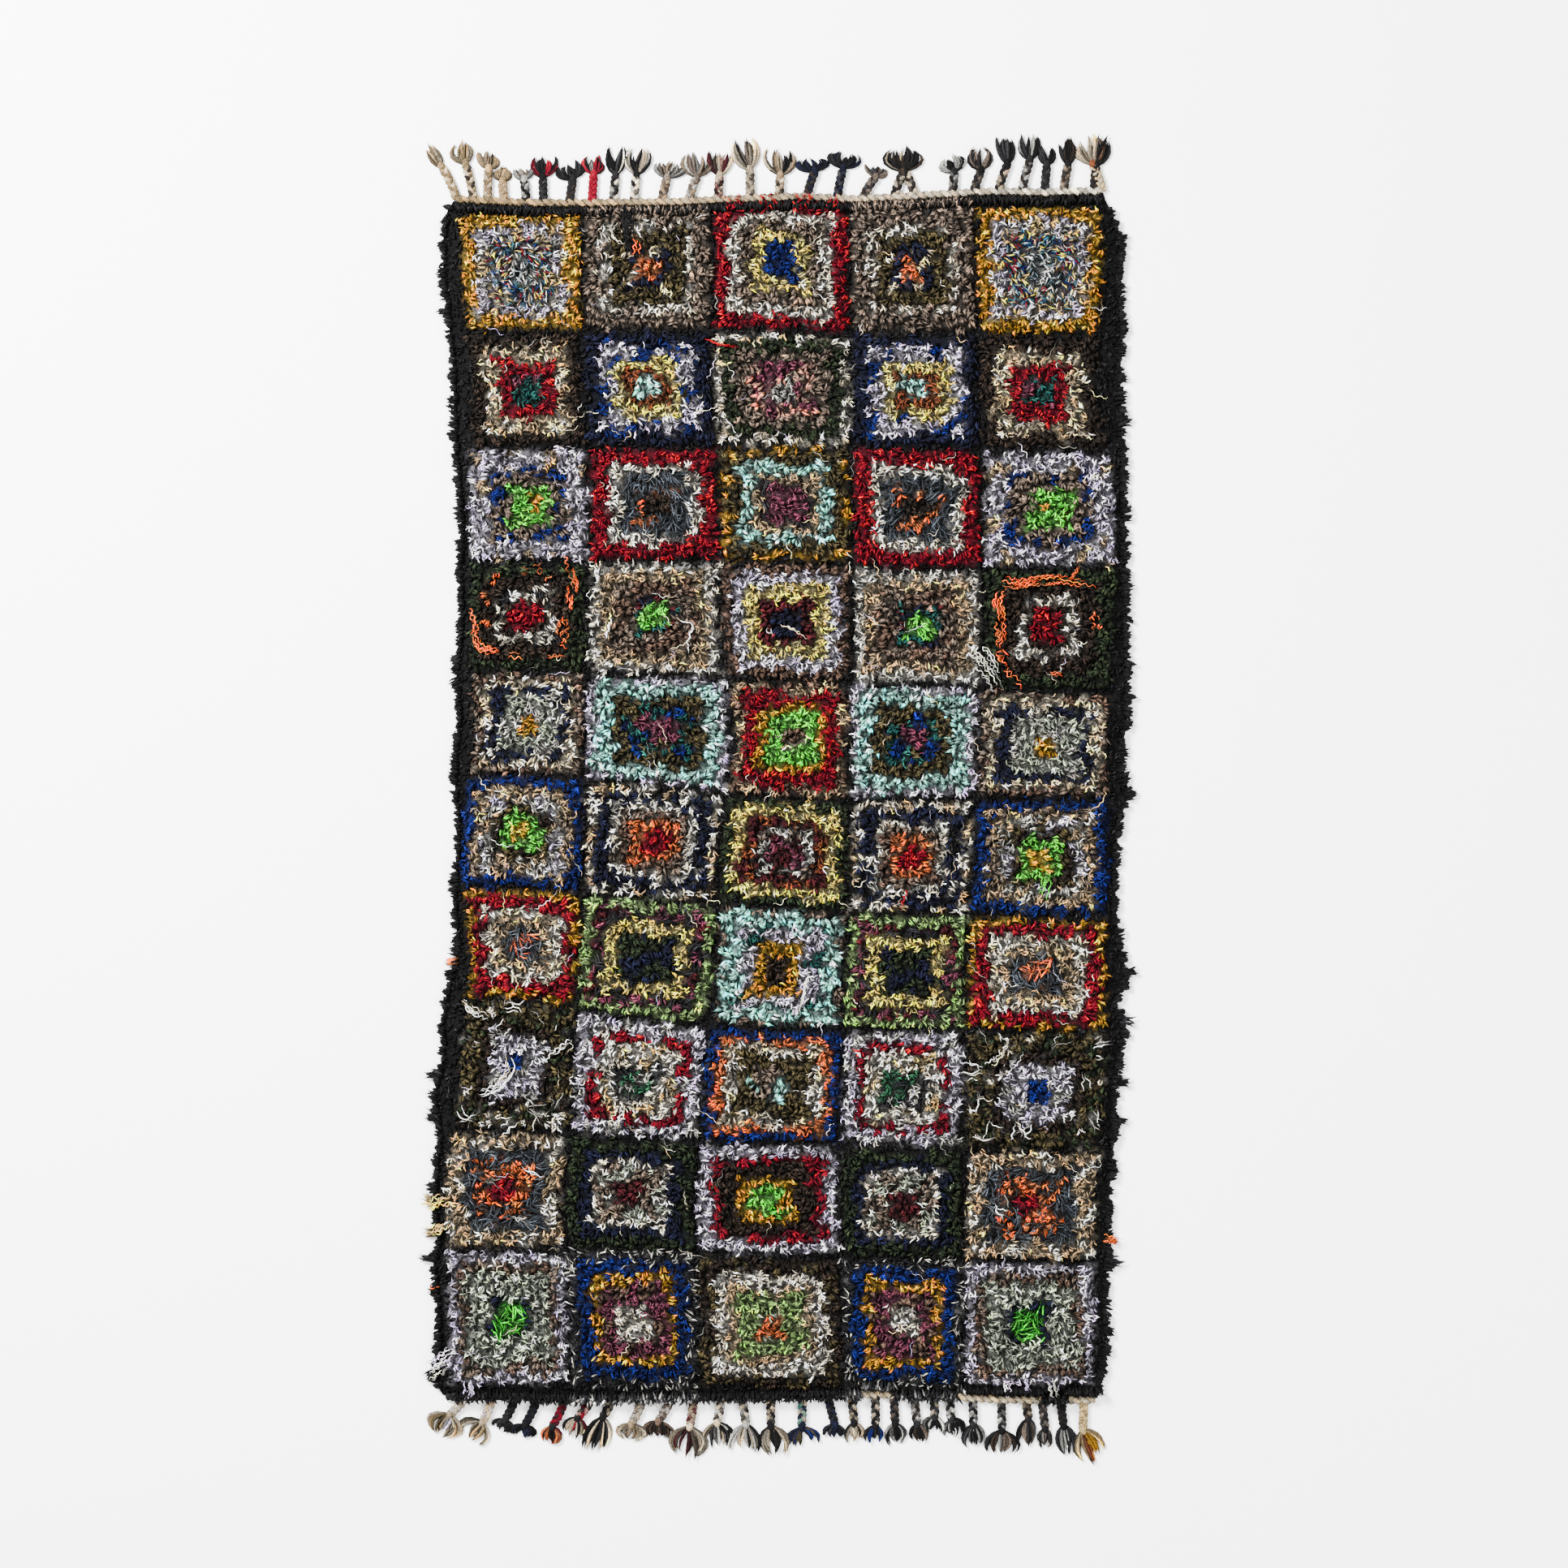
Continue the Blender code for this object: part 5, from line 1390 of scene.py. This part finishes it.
def make_camera():
    """The camera, above the middle of the photograph's frame."""
    data = bpy.data.cameras.new("camera")
    data.sensor_width = SENSOR_WIDTH
    data.lens = SENSOR_WIDTH * CAMERA_HEIGHT / VIEW_WIDTH
    data.clip_end = CAMERA_SIGHT
    camera = bpy.data.objects.new("camera", data)
    camera.location = (VIEW_CENTRE[0] * MM, VIEW_CENTRE[1] * MM, CAMERA_HEIGHT * MM)
    bpy.context.scene.collection.objects.link(camera)
    bpy.context.scene.camera = camera


def make_floor():
    """A plain pale floor."""
    mesh = bpy.data.meshes.new("floor")
    corners = [(FLOOR_REACH * x, FLOOR_REACH * y, 0.0) for x, y in ((-1, -1), (1, -1), (1, 1), (-1, 1))]
    mesh.from_pydata(corners, [], [(0, 1, 2, 3)])
    material, nodes, _ = new_material("floor_paint")
    set_inputs(nodes["Principled BSDF"], {"Base Color": FLOOR_COLOUR, "Roughness": FLOOR_ROUGHNESS})
    mesh.materials.append(material)
    floor = bpy.data.objects.new("floor", mesh)
    bpy.context.scene.collection.objects.link(floor)


def make_lights():
    """Two large soft lights that point at the rug's middle, and an even sky."""
    for lamp in LIGHTS:
        data = bpy.data.lights.new(lamp.name, "AREA")
        data.size = lamp.size
        data.energy = lamp.power
        light = bpy.data.objects.new(lamp.name, data)
        light.location = lamp.place
        light.rotation_euler = (-light.location).to_track_quat("-Z", "Y").to_euler()
        bpy.context.scene.collection.objects.link(light)
    world = bpy.data.worlds.new("studio")
    world.use_nodes = True
    set_inputs(world.node_tree.nodes["Background"], {"Color": SKY_COLOUR, "Strength": SKY_LIGHT})
    bpy.context.scene.world = world


def main():
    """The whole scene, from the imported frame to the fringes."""
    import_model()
    rng = np.random.default_rng(SEED)
    make_camera()
    make_floor()
    make_lights()
    ground = make_ground(woven_material("woven_ground"), rng)
    bed = make_bed(yarn_material(BED_FINISH), rng)
    pile_yarn = yarn_material(PILE_FINISH)
    pile = make_pile(pile_yarn, rng)
    for make in (make_rim_locks, make_end_pile, make_strays, make_locks):
        pile.append(make(pile_yarn, rng))
    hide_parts("pile_field")
    fringe_yarn = yarn_material(FRINGE_FINISH)
    fringes = [piece for fringe in FRINGES for piece in make_fringe(fringe, fringe_yarn, rng)]


main()
